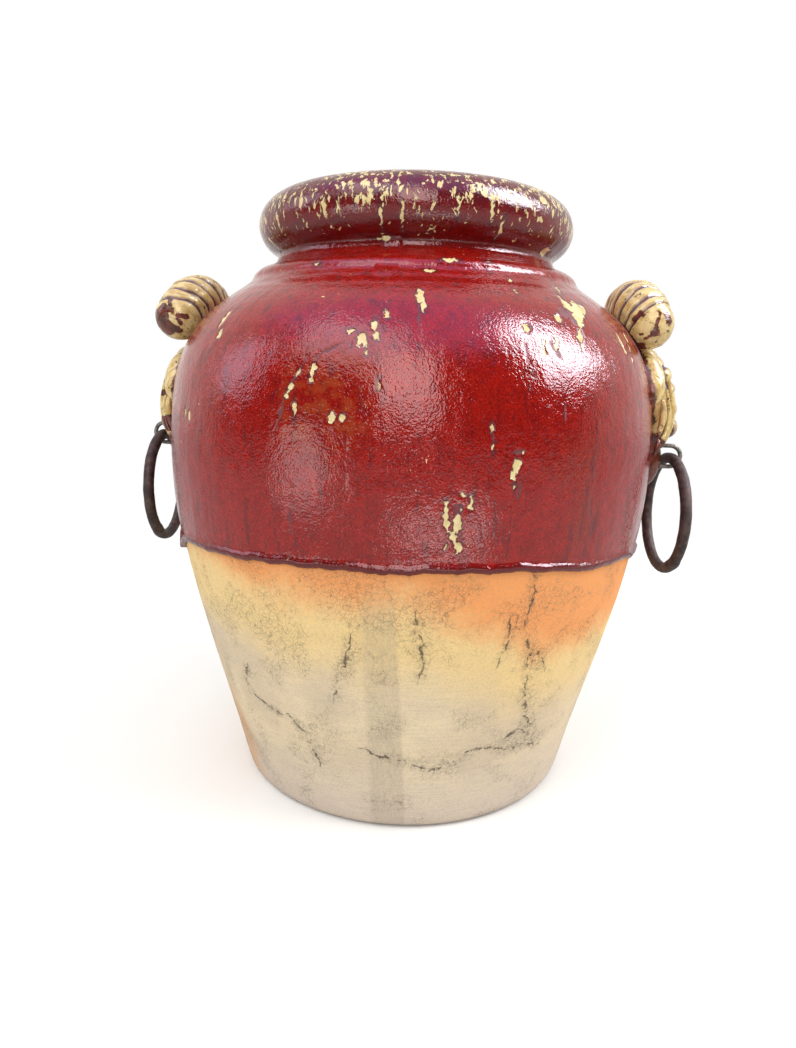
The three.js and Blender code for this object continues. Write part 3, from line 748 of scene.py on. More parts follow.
def lobe_places(side):
    """A matrix for each lobe on the +X side, which turns a ball of radius 1 into it."""
    places = []
    for across, up, half_width, half_length, rise, lean in LEAF_LOBES:
        height = (side["leaf"] + up) * MM
        radius = glaze_radius(height)
        slope = (glaze_radius(height - MM) - glaze_radius(height + MM)) / (2 * MM)
        depth = min(rise, KNOB_DEPTH * half_length)
        for hand in ((1, -1) if across else (1,)):
            places.append(
                Matrix.Rotation(hand * across * MM / BELLY, 4, "Z")
                @ Matrix.Translation((radius + (rise - depth) * MM, 0, height))
                @ Matrix.Rotation(-math.atan(slope), 4, "Y")
                @ Matrix.Rotation(math.radians(-lean * hand), 4, "X")
                @ Matrix.Diagonal((depth * MM, half_width * MM, half_length * MM, 1))
            )
    return places


def strand_places(side):
    """A row of balls for each strand, as matrices, along a line bent through its three places."""
    rows = []
    for *numbers, half_width in LEAF_STRANDS:
        for hand in (1, -1):
            top, middle, foot = [
                on_wall(hand * across * MM, (side["leaf"] + up) * MM, (rise - half_width) * MM)
                for across, up, rise in (numbers[:3], numbers[3:6], numbers[6:])
            ]
            bend = middle * 2 - (top + foot) / 2
            row = []
            for t in np.linspace(0, 1, STRAND_BALLS):
                place = top * (1 - t) ** 2 + bend * 2 * t * (1 - t) + foot * t * t
                radius = half_width * MM * (STRAND_TIP + (1 - STRAND_TIP) * math.sin(math.pi * t))
                ball = Matrix.Diagonal((radius, radius, radius * BALL_STRETCH, 1))
                row.append(Matrix.Translation(place) @ ball)
            rows.append(row)
    return rows


def soften(form):
    """One round of smoothing."""
    bmesh.ops.smooth_vert(
        form, verts=form.verts, factor=0.5, use_axis_x=True, use_axis_y=True, use_axis_z=True,
    )
    form.normal_update()


def melted(form):
    """Joins overlapping shapes into one smooth skin."""
    mesh = bpy.data.meshes.new("melting")
    form.to_mesh(mesh)
    form.free()
    lump = bpy.data.objects.new("melting", mesh)
    bpy.context.scene.collection.objects.link(lump)
    remesh = lump.modifiers.new("remesh", "REMESH")
    remesh.mode = "VOXEL"
    remesh.voxel_size = MELT_SIZE
    graph = bpy.context.evaluated_depsgraph_get()
    result = bmesh.new()
    result.from_mesh(lump.evaluated_get(graph).to_mesh())
    bpy.data.objects.remove(lump)
    soften(result)
    return result


def cut_seams(form, shapes):
    """Sinks the skin where two shapes meet, and keeps on each corner how far the meeting line is."""
    places = np.array([vert.co for vert in form.verts])
    off = []
    for balls in shapes:
        nearest = np.full(len(places), np.inf)
        for ball in balls:
            turned_back = np.array(ball.inverted())
            local = places @ turned_back[:3, :3].T + turned_back[:3, 3]
            nearest = np.minimum(nearest, (np.linalg.norm(local, axis=1) - 1) * ball.to_scale().y / MM)
        off.append(nearest)
    first, second = np.sort(np.array(off), axis=0)[:2]
    seam = form.verts.layers.float.new("seam")
    for vert, value in zip(form.verts, second - first):
        vert[seam] = min(SEAM_REACH, value)
        vert.co -= vert.normal * max(0, 1 - value / CREASE_REACH) * CREASE_DEPTH
    soften(form)


leaves = {}
for hand, side in SIDES.items():
    lobes = lobe_places(side)
    strands = strand_places(side)
    form = bmesh.new()
    for lobe in lobes:
        bmesh.ops.create_icosphere(form, subdivisions=4, radius=1, matrix=lobe)
    for row in strands:
        for ball in row:
            bmesh.ops.create_icosphere(form, subdivisions=2, radius=1, matrix=ball)
    form = melted(form)
    cut_seams(form, [[lobe] for lobe in lobes] + strands)
    turn_round(form, form.verts, side["turn"])
    hidden = [
        vert for vert in form.verts
        if math.hypot(vert.co.x, vert.co.y) < glaze_radius(vert.co.z) - CUT_DEPTH
    ]
    bmesh.ops.delete(form, geom=hidden, context="VERTS")
    rest = [edge for edge in form.edges if len(edge.link_faces) == 1]
    bmesh.ops.holes_fill(form, edges=rest, sides=0)
    bmesh.ops.recalc_face_normals(form, faces=form.faces)
    leaves[hand] = mesh_piece(hand + "_leaf", form, "urn", "cream_glaze", "leaf_" + hand)

# %% [markdown]
# ## The wire eyes
# A wire eye is a staple: a length of wire bent to a half circle, with both legs pushed into the leaf.
# A disc is extruded along the lower leg, spun through half a turn, and extruded back along the other.

# %% Bend the wire eyes

WIRE = 3 * MM
EYE_RADIUS = 7.5 * MM
EYE_LEG = 15 * MM


def eye_form(side):
    """A wire eye on the +X side, in one closed skin."""
    out, up = (value * MM for value in side["eye"])
    form = bmesh.new()
    start = Matrix.Translation((out - EYE_LEG, 0, up - EYE_RADIUS)) @ Matrix.Rotation(math.pi / 2, 4, "Y")
    bmesh.ops.create_circle(form, cap_ends=True, radius=WIRE / 2, segments=24, matrix=start)
    tip = form.faces[:]
    leg = bmesh.ops.extrude_face_region(form, geom=tip, use_keep_orig=True)["geom"]
    bmesh.ops.translate(form, verts=only(bmesh.types.BMVert, leg), vec=(EYE_LEG, 0, 0))
    end = only(bmesh.types.BMFace, leg)
    bend = bmesh.ops.spin(
        form, geom=end, cent=(out, 0, up), axis=(0, -1, 0), dvec=(0, 0, 0), angle=math.pi, steps=40,
        use_merge=False, use_normal_flip=False, use_duplicate=False,
    )["geom_last"]
    leg = bmesh.ops.extrude_face_region(form, geom=only(bmesh.types.BMFace, bend))["geom"]
    bmesh.ops.translate(form, verts=only(bmesh.types.BMVert, leg), vec=(-EYE_LEG, 0, 0))
    bmesh.ops.remove_doubles(form, verts=form.verts, dist=WELD)
    discs = [face for face in form.faces if len(face.verts) > 4]
    inner = [disc for disc in discs if disc.calc_center_median().x > out - EYE_LEG / 2]
    bmesh.ops.delete(form, geom=inner, context="FACES_ONLY")
    bmesh.ops.recalc_face_normals(form, faces=form.faces)
    return form


eyes = {}
for hand, side in SIDES.items():
    form = eye_form(side)
    turn_round(form, form.verts, side["turn"])
    eyes[hand] = mesh_piece(hand + "_wire_eye", form, "urn", "eye_wire", "ring_eye_" + hand)

# %% [markdown]
# ## The iron rings
# Each ring was forged from round rod and closed by a lap weld. It is a circle spun through a full turn.
# Flat hammer marks are small dents from noise, and the weld is a short stretch where the rod is
# thicker and kinks. The ring rides on its own body, so it swings when the joint does.

# %% Forge the rings

ROD = 8 * MM
LAP_PLACE = math.radians(215)  # where the rod was closed, round the ring from its top
LAP_HALF = math.radians(9)
RING_STEPS = 304  # corners round the ring
LAP_SWELL = 0.35 * MM
LAP_KINK = 0.5 * MM
RING_DENTS = [(7, 0.22), (2.2, 0.08)]  # size and depth in mm
HAMMERED_OFF = 0.15 * MM  # what the hammer took off the rod all over


def ring_form(hand):
    """A ring hanging in its eye, at the size and the place of its node and its joint."""
    low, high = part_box("ring_" + hand)
    reach = (high[2] - low[2] - ROD) / 2
    joint = next(joint for joint in frame["joints"] if joint["child"] == hand + "_ring")
    axis = Vector(joint["axis"])
    form = bmesh.new()
    section = Matrix.Translation((0, 0, reach)) @ Matrix.Rotation(math.pi / 2, 4, "X")
    bmesh.ops.create_circle(form, cap_ends=False, radius=ROD / 2, segments=36, matrix=section)
    spun(form, form.verts[:] + form.edges[:], Vector((1, 0, 0)), RING_STEPS)
    for vert in form.verts:
        round_ring = math.atan2(vert.co.y, vert.co.z) % (2 * math.pi)
        middle = Vector((0, math.sin(round_ring), math.cos(round_ring))) * reach
        off = vert.co - middle
        lap = math.exp(-((round_ring - LAP_PLACE) / LAP_HALF) ** 2)
        dents = sum(noise.noise(vert.co / (size * MM)) * depth * MM for size, depth in RING_DENTS)
        vert.co = middle + off * (1 + (dents - HAMMERED_OFF + LAP_SWELL * lap) / (ROD / 2))
        vert.co.x += math.sin((round_ring - LAP_PLACE) / LAP_HALF * 1.5) * lap * LAP_KINK
    turn = math.atan2(axis.x, -axis.y) if hand == "right" else math.atan2(-axis.x, axis.y)
    pivot = Matrix.Translation(Vector(joint["pos_m"]))
    hang = pivot @ Matrix.Rotation(turn, 4, "Z") @ Matrix.Translation((0, 0, -reach))
    bmesh.ops.transform(form, matrix=hang, verts=form.verts)
    return form


rings = {}
for hand in SIDES:
    form = ring_form(hand)
    rings[hand] = mesh_piece(hand + "_iron_ring", form, hand + "_ring", "ring_iron", "ring_" + hand)

# %% [markdown]
# ## Painting with sockets
# Every finish below is procedural: it is worked out from the place on the piece, so it has no seams
# and no picture behind it. Node trees get long, so a small class wraps one socket. Sums of wrapped
# sockets add Math nodes, and one method adds any other node.

# %% A wrapped socket


class Paint:
    """A value or colour on its way through a material; arithmetic on it adds Math nodes."""

    def __init__(self, tree, socket):
        self.tree = tree
        self.socket = socket

    def node(self, kind, inputs, output=0, **settings):
        """Adds a node: its settings first, then a number or a link for each socket that is named."""
        made = self.tree.nodes.new(kind)
        for name, value in settings.items():
            setattr(made, name, value)
        for name, value in inputs.items():
            if isinstance(value, Paint):
                self.tree.links.new(value.socket, made.inputs[name])
            else:
                made.inputs[name].default_value = value
        return Paint(self.tree, made.outputs[output]) if made.outputs else None

    def __add__(self, other):
        return calculated("ADD", self, other)

    def __radd__(self, other):
        return calculated("ADD", other, self)

    def __sub__(self, other):
        return calculated("SUBTRACT", self, other)

    def __rsub__(self, other):
        return calculated("SUBTRACT", other, self)

    def __mul__(self, other):
        return calculated("MULTIPLY", self, other)

    def __rmul__(self, other):
        return calculated("MULTIPLY", other, self)

    def __truediv__(self, other):
        return calculated("DIVIDE", self, other)

    def __rtruediv__(self, other):
        return calculated("DIVIDE", other, self)

    def __neg__(self):
        return calculated("MULTIPLY", self, -1)


def calculated(operation, *values):
    """One Math node on wrapped sockets and numbers."""
    wrapped = next(value for value in values if isinstance(value, Paint))
    return wrapped.node("ShaderNodeMath", dict(enumerate(values)), operation=operation)


print("sockets can be added, subtracted, multiplied and divided")

# %% Colours, patterns and layers


def color(red, green, blue):
    """A colour as seen on a screen, from 0 to 255, made linear for a socket."""
    linear = []
    for value in (red / 255, green / 255, blue / 255):
        linear.append(value / 12.92 if value < 0.04045 else ((value + 0.055) / 1.055) ** 2.4)
    return (*linear, 1)


def new_finish(name):
    """A new material and the place on the piece, in metres, where its painting starts."""
    material = bpy.data.materials.new(name)
    material.use_nodes = True
    material.node_tree.nodes.clear()
    tree = material.node_tree
    return material, Paint(tree, tree.nodes.new("ShaderNodeTexCoord").outputs["Object"])


def finish_with(base, rough, bump, **fixed):
    """Ends a material: varying colour, roughness and bump height in metres, and fixed values."""
    normal = base.node("ShaderNodeBump", {"Height": bump, "Distance": 1.0, "Strength": 1.0})
    inputs = {"Base Color": base, "Roughness": rough, "Normal": normal}
    inputs.update({name.replace("_", " "): value for name, value in fixed.items()})
    shader = base.node("ShaderNodeBsdfPrincipled", inputs)
    base.node("ShaderNodeOutputMaterial", {"Surface": shader})


def grain(place, size, detail, rough=0.5, distort=0.0):
    """Noise from 0 to 1 whose lumps are about size metres wide."""
    inputs = {"Vector": place, "Scale": 1 / size, "Detail": detail}
    return place.node("ShaderNodeTexNoise", {**inputs, "Roughness": rough, "Distortion": distort})


def stretched(place, x, y, z):
    """The place scaled along each axis, so that a pattern read there is drawn out."""
    return place.node("ShaderNodeMapping", {"Vector": place, "Scale": (x, y, z)})


def soft_step(value, low, high):
    """0 below low and 1 above high, or the other way round where low is the larger."""
    inputs = {"Value": value, "From Min": low, "From Max": high}
    return value.node("ShaderNodeMapRange", inputs, interpolation_type="SMOOTHSTEP")


def layer(mask, under, over):
    """Paints one colour over another where the mask is 1."""
    return mask.node("ShaderNodeMix", {0: mask, 6: under, 7: over}, output=2, data_type="RGBA")


def kept(place, name):
    """A number kept on the corners of the piece."""
    return place.node("ShaderNodeAttribute", {}, output="Fac", attribute_name=name)


def parts_of(place):
    """The X, Y and Z of a wrapped place."""
    split = place.node("ShaderNodeSeparateXYZ", {"Vector": place})
    return [Paint(place.tree, output) for output in split.socket.node.outputs]


def in_degrees(radians):
    """A wrapped angle in degrees."""
    return radians * (180 / math.pi)


def round_and_up(place):
    """The angle round the pot, in degrees from the front towards +X, and the height in metres."""
    x, y, z = parts_of(place)
    return in_degrees(calculated("ARCTAN2", x, -y)), z


def shoved(place, size, reach):
    """The place shoved about by noise, so that a regular pattern read there turns ragged."""
    shove = place.node("ShaderNodeTexNoise", {"Vector": place, "Scale": 1 / size, "Detail": 2.0}, output=1)
    shove = shove.node("ShaderNodeVectorMath", {0: shove, 1: (0.5, 0.5, 0.5)}, operation="SUBTRACT")
    shove = shove.node("ShaderNodeVectorMath", {0: shove, "Scale": reach}, operation="SCALE")
    return place.node("ShaderNodeVectorMath", {0: place, 1: shove})


print("painting tools ready")


# %% [markdown]
# ## Bare clay
# The clay is buff and grey, with an orange flash under the glaze where it drew iron from it. A grey
# band runs down in front, fine crackle covers patches of it and a few long cracks cross it. Each long
# crack is a chain of places. Every corner keeps how far it lies to one side of the nearest crack,
# below 0 on the other side: a number that passes evenly through 0 draws a thin line between corners
# that are much further apart than the line is wide.

# %% Long cracks in the clay

CRACKS = [  # places down or along each crack: angle in degrees, height in mm
    [(7.2, 157), (7.0, 150), (8.9, 143), (8.2, 137), (9.2, 130), (8.4, 120)],
    [(30.9, 180), (31.4, 170), (31.0, 160), (30.7, 152)],
    [(27.0, 152), (27.4, 143), (26.9, 135), (26.1, 128)],
    [(32.4, 139), (34.2, 132), (37.0, 127), (38.7, 120)],
    [(32.4, 139), (33.8, 125), (34.6, 113), (35.4, 100), (36.9, 89), (38.1, 80), (40.3, 74), (42.5, 66),
     (45.3, 59)],
    [(-37.8, 103), (-39.9, 93), (-39.7, 85), (-33.4, 80), (-29, 77)],
    [(-25, 76), (-21.6, 67), (-19.8, 57), (-18.8, 47)],
    [(-4.1, 62.5), (-0.6, 59), (3, 58), (7.2, 54.5), (10, 50.5), (13.2, 49.5), (18.2, 53), (21.5, 61),
     (28.4, 62.5), (34, 57.6), (40, 56.5), (46, 52)],
    [(33.7, 68), (36.9, 71.5), (41.8, 64.4)],
    [(-6.3, 141), (-7.9, 124), (-10.2, 112), (-11.2, 102)],
    [(118, 140), (121, 126), (117, 112), (120, 98)],
    [(150, 62), (162, 56), (171, 60), (183, 52)],
    [(205, 160), (207, 146), (203, 130), (208, 118)],
    [(-112, 126), (-108, 112), (-113, 96)],
    [(-158, 66), (-149, 60), (-139, 64), (-131, 57)],
]
CRACK_REACH = 8  # mm to the side of a crack, where it has no effect any more
CRACK_FADE = 5  # mm over which the effect fades out before that


def beside_cracks(places):
    """Signed distance to the side of the nearest crack and plain distance to it, both in mm."""
    radius, angle = radius_and_angle(places)
    side = np.full(len(places), np.inf)
    nearest = np.full(len(places), np.inf)
    for crack in CRACKS:
        for (angle_a, height_a), (angle_b, height_b) in zip(crack, crack[1:]):
            across = np.radians(off_angle(angle, angle_a)) * radius / MM
            from_a = np.stack([across, places[:, 2] / MM - height_a])
            sideways = np.radians(angle_b - angle_a) * radius / MM
            step = np.stack([sideways, np.full(len(radius), height_b - height_a)])
            share = np.clip(np.sum(from_a * step, 0) / np.sum(step * step, 0), 0, 1)
            off = from_a - step * share
            distance = np.hypot(*off)
            sign = np.where(step[0] * off[1] > step[1] * off[0], 1, -1)
            closer = distance < nearest
            side[closer] = (sign * distance)[closer]
            nearest[closer] = distance[closer]
    return side, nearest


crack_side, crack_distance = beside_cracks(corners(clay_pot))
keep_values(clay_pot, "crack_side", np.clip(crack_side, -CRACK_REACH, CRACK_REACH))
keep_values(clay_pot, "crack_near", np.clip((CRACK_REACH - crack_distance) / CRACK_FADE, 0, 1))
print(len(CRACKS), "cracks;", int(np.sum(crack_distance < 2)), "corners within 2 mm of one")

# %% Bare clay finish


def cell_borders(place, size):
    """How far the nearest border of a pattern of cells is, in cells; they are about size metres wide."""
    inputs = {"Vector": place, "Scale": 1 / size}
    return place.node("ShaderNodeTexVoronoi", inputs, feature="DISTANCE_TO_EDGE")


def bare_clay():
    """Buff below and orange under the glaze, with a grey band, crackle and long cracks."""
    material, place = new_finish("fired_clay")
    degrees, height = round_and_up(place)
    broad = grain(place, 45 * MM, 3)
    speckle = grain(place, 1.1 * MM, 3, 0.7)
    clumps = grain(place, 3.5 * MM, 4, 0.65)

    buff = layer(soft_step(broad, 0.35, 0.65), color(228, 208, 176), color(244, 224, 186))
    buff = layer(soft_step(height, 70 * MM, 0) * 0.75, buff, color(222, 207, 194))
    throwing = grain(stretched(place, 60, 60, 1200), 1, 2)
    buff = layer(soft_step(throwing, 0.4, 0.7) * 0.25, buff, color(196, 182, 162))
    to_right = soft_step(degrees, 5, 38) * soft_step(degrees, 172, 110) * 34
    to_right = to_right - soft_step(degrees, -26, -50) * soft_step(degrees, -172, -110) * 14
    flash_line = height * 1000 + (broad - 0.5) * 38 + (clumps - 0.5) * 16 + to_right
    base = layer(soft_step(flash_line, 96, 150) * 0.85, buff, color(250, 216, 146))
    base = layer(soft_step(flash_line, 150, 180) * 0.92, base, color(252, 162, 92))
    left_glow = soft_step(degrees + (broad - 0.5) * 20, -44, -56) * soft_step(height, 90 * MM, 40 * MM)
    left_glow = left_glow * soft_step(degrees, -165, -120)
    base = layer(left_glow * 0.55, base, color(226, 170, 112))

    drift = (150 * MM - height) * 22
    band = soft_step(degrees, -4.8, -2.6) * soft_step(degrees - drift, 3.6, 2.6)
    band = band * soft_step(height, 182 * MM, 150 * MM)
    lines = grain(stretched(place, 900, 900, 12), 1, 2)
    base = layer(band * (0.05 + lines * 0.55), base, color(178, 164, 142))

    shifted = shoved(place, 3 * MM, 4 * MM)
    wide_cells = cell_borders(shifted, 4.2 * MM)
    fine_cells = cell_borders(shifted, 2.0 * MM)
    patch = grain(place, 26 * MM, 3)
    near = kept(place, "crack_near")
    patch = patch + near * 0.12 + soft_step(height, 90 * MM, 150 * MM) * 0.06
    crackle = soft_step(wide_cells, 0.07, 0.0) * soft_step(patch, 0.45, 0.63) * soft_step(clumps, 0.4, 0.54)
    fine_crackle = soft_step(fine_cells, 0.12, 0.0) * soft_step(patch, 0.46, 0.7) * 0.6
    crackle = calculated("MAXIMUM", crackle, fine_crackle)
    wander = grain(place, 5 * MM, 5, 0.72)
    side = kept(place, "crack_side") + (wander - 0.5) * 8 + (speckle - 0.5) * 1.4
    off_crack = calculated("ABSOLUTE", side)
    gaps = grain(place, 8 * MM, 3)
    crack = soft_step(off_crack, 0.1 + clumps * 1.5, 0.1) * near * soft_step(gaps + clumps * 0.6, 0.7, 0.88)
    halo = soft_step(off_crack, 5.5, 0.2) * near * soft_step(speckle + (clumps - 0.5) * 0.6, 0.52, 0.6)
    dirt = soft_step(speckle, 0.62, 0.72) * soft_step(clumps, 0.42, 0.6)
    base = layer(soft_step(speckle, 0.6, 0.3) * 0.3, base, color(172, 152, 124))
    base = layer(dirt * 0.6, base, color(118, 104, 84))
    base = layer(crackle * 0.6, base, color(118, 102, 84))
    base = layer(halo * 0.6, base, color(116, 102, 84))
    base = layer(crack * 0.8, base, color(84, 74, 62))

    rough = 0.86 + speckle * 0.12
    bump = speckle * (0.12 * MM) + clumps * (0.25 * MM) - crackle * (0.12 * MM) - crack * (0.5 * MM)
    finish_with(base, rough, bump, IOR=1.4)
    return material


clay_pot.data.materials.append(bare_clay())
print("bare clay painted")

# %% [markdown]
# ## Red glaze
# The glaze is oxblood: copper red, mottled and finely speckled, plum where it is thick and cream where
# it broke open over the slip. It is glass, so it is smooth, but its face is dimpled like orange peel,
# which breaks up every reflection.

# %% Red glaze finish


def red_glaze():
    """Mottled oxblood, plum on the rim and the rolled edge, with cream chips and dark streaks, and painted
    shade under the rim and round the scrolls' seats.
    """
    material, place = new_finish("oxblood_glaze")
    degrees, height = round_and_up(place)
    broad = grain(place, 50 * MM, 3)
    mottle = grain(place, 7 * MM, 5, 0.6)
    speckle = grain(place, 0.9 * MM, 2, 0.6)
    runs = grain(stretched(place, 1, 1, 0.13), 5 * MM, 3)
    hairs = grain(stretched(place, 1, 1, 0.09), 2.6 * MM, 2)

    base = layer(soft_step(mottle, 0.36, 0.66), color(140, 14, 8), color(158, 20, 10))
    base = layer(soft_step(broad, 0.52, 0.72) * 0.45, base, color(136, 42, 20))
    base = layer(soft_step(speckle, 0.52, 0.32) * 0.75, base, color(84, 11, 11))
    base = layer(soft_step(speckle, 0.58, 0.72) * 0.45, base, color(196, 56, 34))
    base = layer(soft_step(runs, 0.56, 0.72) * 0.6, base, color(78, 24, 28))
    base = layer(soft_step(hairs, 0.6, 0.72) * 0.4, base, color(70, 20, 26))
    stain = soft_step(degrees, -23, -15) * soft_step(degrees, 1, -7) * soft_step(mottle, 0.42, 0.6)
    stain = stain * soft_step(height, 244 * MM, 262 * MM) * soft_step(height, 304 * MM, 284 * MM)
    base = layer(stain * 0.6, base, color(152, 66, 30))
    # painted shade: the glaze just under the rim's overhang is darkened, as if it mirrored shade
    under_rim_shade = soft_step(height, 360 * MM, 366 * MM) * soft_step(height, 384 * MM, 374 * MM)
    base = layer(under_rim_shade * 0.6, base, color(66, 8, 12))
    rim = soft_step(height + (mottle - 0.5) * (14 * MM), 368 * MM, 392 * MM)
    plum = layer(soft_step(runs, 0.4, 0.6), color(70, 22, 32), color(98, 30, 28))
    base = layer(rim * 0.85, base, plum)
    roll = soft_step(kept(place, "above_edge") + (mottle - 0.5) * 5, 7.5, 3.5)
    base = layer(roll * 0.9, base, color(92, 10, 11))

    # dark streaks, and painted shade round the scrolls' seats
    dark = soft_step(kept(place, "streak_and_seat_shade") + (speckle - 0.5) * 0.8, 0.5, -0.5)
    flecks = grain(stretched(place, 1, 1, 0.45), 3.2 * MM, 4, 0.6, 0.4)
    crowd = grain(place, 22 * MM, 1)
    rim_zone = soft_step(height, 362 * MM, 388 * MM) * 0.15 + soft_step(height, 342 * MM, 350 * MM) * 0.03
    fleck = flecks + rim_zone + (crowd - 0.5) * 0.16
    open_slip = kept(place, "open_slip") + (speckle - 0.5) * 0.9
    cream = calculated("MAXIMUM", soft_step(open_slip, 0.15, -0.15), soft_step(fleck, 0.735, 0.755))
    ring = calculated("MAXIMUM", soft_step(open_slip, 1.3, 0.3), soft_step(fleck, 0.69, 0.73) * rim)
    slip = layer(soft_step(mottle, 0.35, 0.65), color(214, 190, 128), color(234, 216, 160))
    base = layer(dark * 0.8, base, color(84, 44, 50))
    base = layer(ring * 0.75, base, color(82, 34, 40))
    base = layer(cream, base, slip)

    rough = 0.04 + runs * 0.05 + dark * 0.45 + cream * 0.14 + roll * 0.06
    peel = grain(place, 3.2 * MM, 1)
    fine_peel = grain(place, 1.2 * MM, 1)
    waves = grain(place, 12 * MM, 1)
    neck = soft_step(height, 336 * MM, 342 * MM) * soft_step(height, 366 * MM, 358 * MM)
    ridges = calculated("SINE", height * (2 * math.pi / (6.5 * MM)) + (waves - 0.5) * 2) * neck
    bump = peel * (0.2 * MM) + fine_peel * (0.19 * MM) + waves * (0.36 * MM) - cream * (0.06 * MM)
    bump = bump + ridges * (0.16 * MM)
    finish_with(base, rough, bump, IOR=1.52)
    return material


red_coat.data.materials.append(red_glaze())
print("red glaze painted")

# %% [markdown]
# ## Cream glaze
# The scrolls and leaves were brushed with cream. Where it pooled in the grooves it turned plum, and
# splashes of the red glaze lie over it.

# %% Cream glaze finish


def cream_glaze(name, seam_width):
    """Cream, with plum seams of a given width and splashes of red."""
    material, place = new_finish(name)
    mottle = grain(place, 6 * MM, 4, 0.6)
    speckle = grain(place, 1.2 * MM, 2)
    pits = grain(place, 3.4 * MM, 2)
    blotch = grain(place, 9 * MM, 3, 0.6)
    along = kept(place, "along") + (blotch - 0.5) * 2.5
    inputs = {"W": along, "Scale": 0.75, "Detail": 2.0}
    lines = place.node("ShaderNodeTexNoise", inputs, noise_dimensions="1D")

    base = layer(soft_step(mottle, 0.35, 0.62), color(204, 172, 104), color(234, 210, 146))
    base = layer(soft_step(speckle, 0.6, 0.72) * 0.3, base, color(240, 228, 192))
    brushed = soft_step(lines, 0.56, 0.66) * soft_step(blotch, 0.42, 0.6)
    base = layer(brushed * 0.5, base, color(150, 124, 86))
    seam = kept(place, "seam") + (blotch - 0.5) * 1.4 + (speckle - 0.5) * 0.6
    base = layer(soft_step(seam, seam_width + 0.8, seam_width - 0.1) * 0.6, base, color(160, 130, 112))
    base = layer(soft_step(seam, seam_width + 0.1, seam_width - 0.5) * 0.9, base, color(100, 76, 84))
    base = layer(soft_step(seam, seam_width - 0.3, seam_width - 0.9) * 0.6, base, color(70, 34, 40))
    base = layer(soft_step(pits, 0.655, 0.7) * 0.85, base, color(80, 52, 40))
    root = kept(place, "near_wall") + (blotch - 0.5) * 1.3
    off_mark = kept(place, "red_mark") + (mottle - 0.5) * 4 + (speckle - 0.5) * 1.6
    red = calculated("MAXIMUM", soft_step(off_mark, 0.3, -0.3), soft_step(root, 0.5, 0.7))
    splash = layer(soft_step(mottle, 0.3, 0.7), color(58, 14, 16), color(118, 30, 28))
    base = layer(red * 0.95, base, splash)

    rough = 0.1 + speckle * 0.1
    bump = mottle * (0.2 * MM) + speckle * (0.06 * MM) - soft_step(pits, 0.64, 0.74) * (0.2 * MM)
    finish_with(base, rough, bump - soft_step(lines, 0.54, 0.66) * (0.12 * MM), IOR=1.5)
    return material


RED_FADE = 16 * MM  # height over which the red glaze takes over the relief
RED_CLIMB = 34 * MM  # how far off the wall it gets there


def keep_near_wall(piece, reach, red_below):
    """Keeps on each corner how near the glazed wall it is: 1 on the wall and 0 from the reach off it.

    Below a height the red glaze climbs further up the relief, until it covers nearly all of it.
    """
    places = corners(piece)
    off_wall = radius_and_angle(places)[0] - wall_radius(places[:, 2]) - GLAZE_FACE
    covered = np.clip((red_below - places[:, 2]) / RED_FADE, 0, 1)
    keep_values(piece, "near_wall", np.clip(1 - off_wall / (reach + covered * RED_CLIMB), 0, 1))


scroll_finish = cream_glaze("scroll_glaze", 1.0)
leaf_finish = cream_glaze("leaf_glaze", 1.3)
for hand, side in SIDES.items():
    keep_near_wall(scrolls[hand], 4 * MM, 0)
    scrolls[hand].data.materials.append(scroll_finish)
    keep_near_wall(leaves[hand], 6.5 * MM, (side["leaf"] - 9) * MM)
    leaves[hand].data.materials.append(leaf_finish)
    places = corners(leaves[hand])
    keep_values(leaves[hand], "red_mark", off_spots(places, LEAF_RED))
    keep_values(leaves[hand], "along", np.radians(radius_and_angle(places)[1]) * BELLY / MM)
print("cream glaze painted")

# %% [markdown]
# ## Iron and wire
# Forged iron left outdoors is dark brown-grey and matte, with a bloom of rust. The wire is dull grey.

# %% Iron and wire finishes


def ring_iron():
    """Dark forged iron with a little rust."""
    material, place = new_finish("forged_iron")
    scale = grain(place, 5 * MM, 4, 0.6)
    speckle = grain(place, 0.9 * MM, 3, 0.6)
    base = layer(soft_step(scale, 0.35, 0.65), color(52, 42, 40), color(82, 68, 62))
    base = layer(soft_step(scale + (speckle - 0.5) * 0.4, 0.6, 0.72) * 0.6, base, color(104, 66, 48))
    base = layer(soft_step(speckle, 0.64, 0.74) * 0.4, base, color(132, 118, 108))
    bump = scale * (0.2 * MM) + speckle * (0.06 * MM)
    finish_with(base, 0.5 + speckle * 0.25, bump, Metallic=0.35)
    return material


def eye_wire():
    """Dull grey wire."""
    material, place = new_finish("dull_wire")
    scale = grain(place, 3 * MM, 3, 0.6)
    speckle = grain(place, 0.6 * MM, 2)
    base = layer(soft_step(scale, 0.4, 0.65), color(92, 94, 88), color(138, 138, 128))
    base = layer(soft_step(speckle, 0.6, 0.72) * 0.5, base, color(74, 60, 50))
    finish_with(base, 0.38 + scale * 0.2, speckle * (0.04 * MM), Metallic=0.7)
    return material


iron = ring_iron()
wire = eye_wire()
for hand in SIDES:
    rings[hand].data.materials.append(iron)
    eyes[hand].data.materials.append(wire)
print("iron and wire painted")

# %% [markdown]
# ## The studio
# The urn stands on a plain white floor in soft studio light. Glaze is a mirror, so what it reflects
# matters as much as what lights it. The world has one plain level for matte light, and for mirror
# rays it is a room: white behind the pot, dim in front, with a bluish sky light high up, a large
# bright window on the right and weaker ones in front and on the left.

# %% Floor and lamps

POT_MIDDLE = Vector((0, 0, 0.25))
FLOOR_HALF = 6  # metres


def around(angle, elevation, distance):
    """A place at an angle round the pot and an elevation, both in degrees, seen from its middle."""
    angle = math.radians(angle)
    elevation = math.radians(elevation)
    flat = distance * math.cos(elevation)
    way = Vector((flat * math.sin(angle), -flat * math.cos(angle), distance * math.sin(elevation)))
    return POT_MIDDLE + way


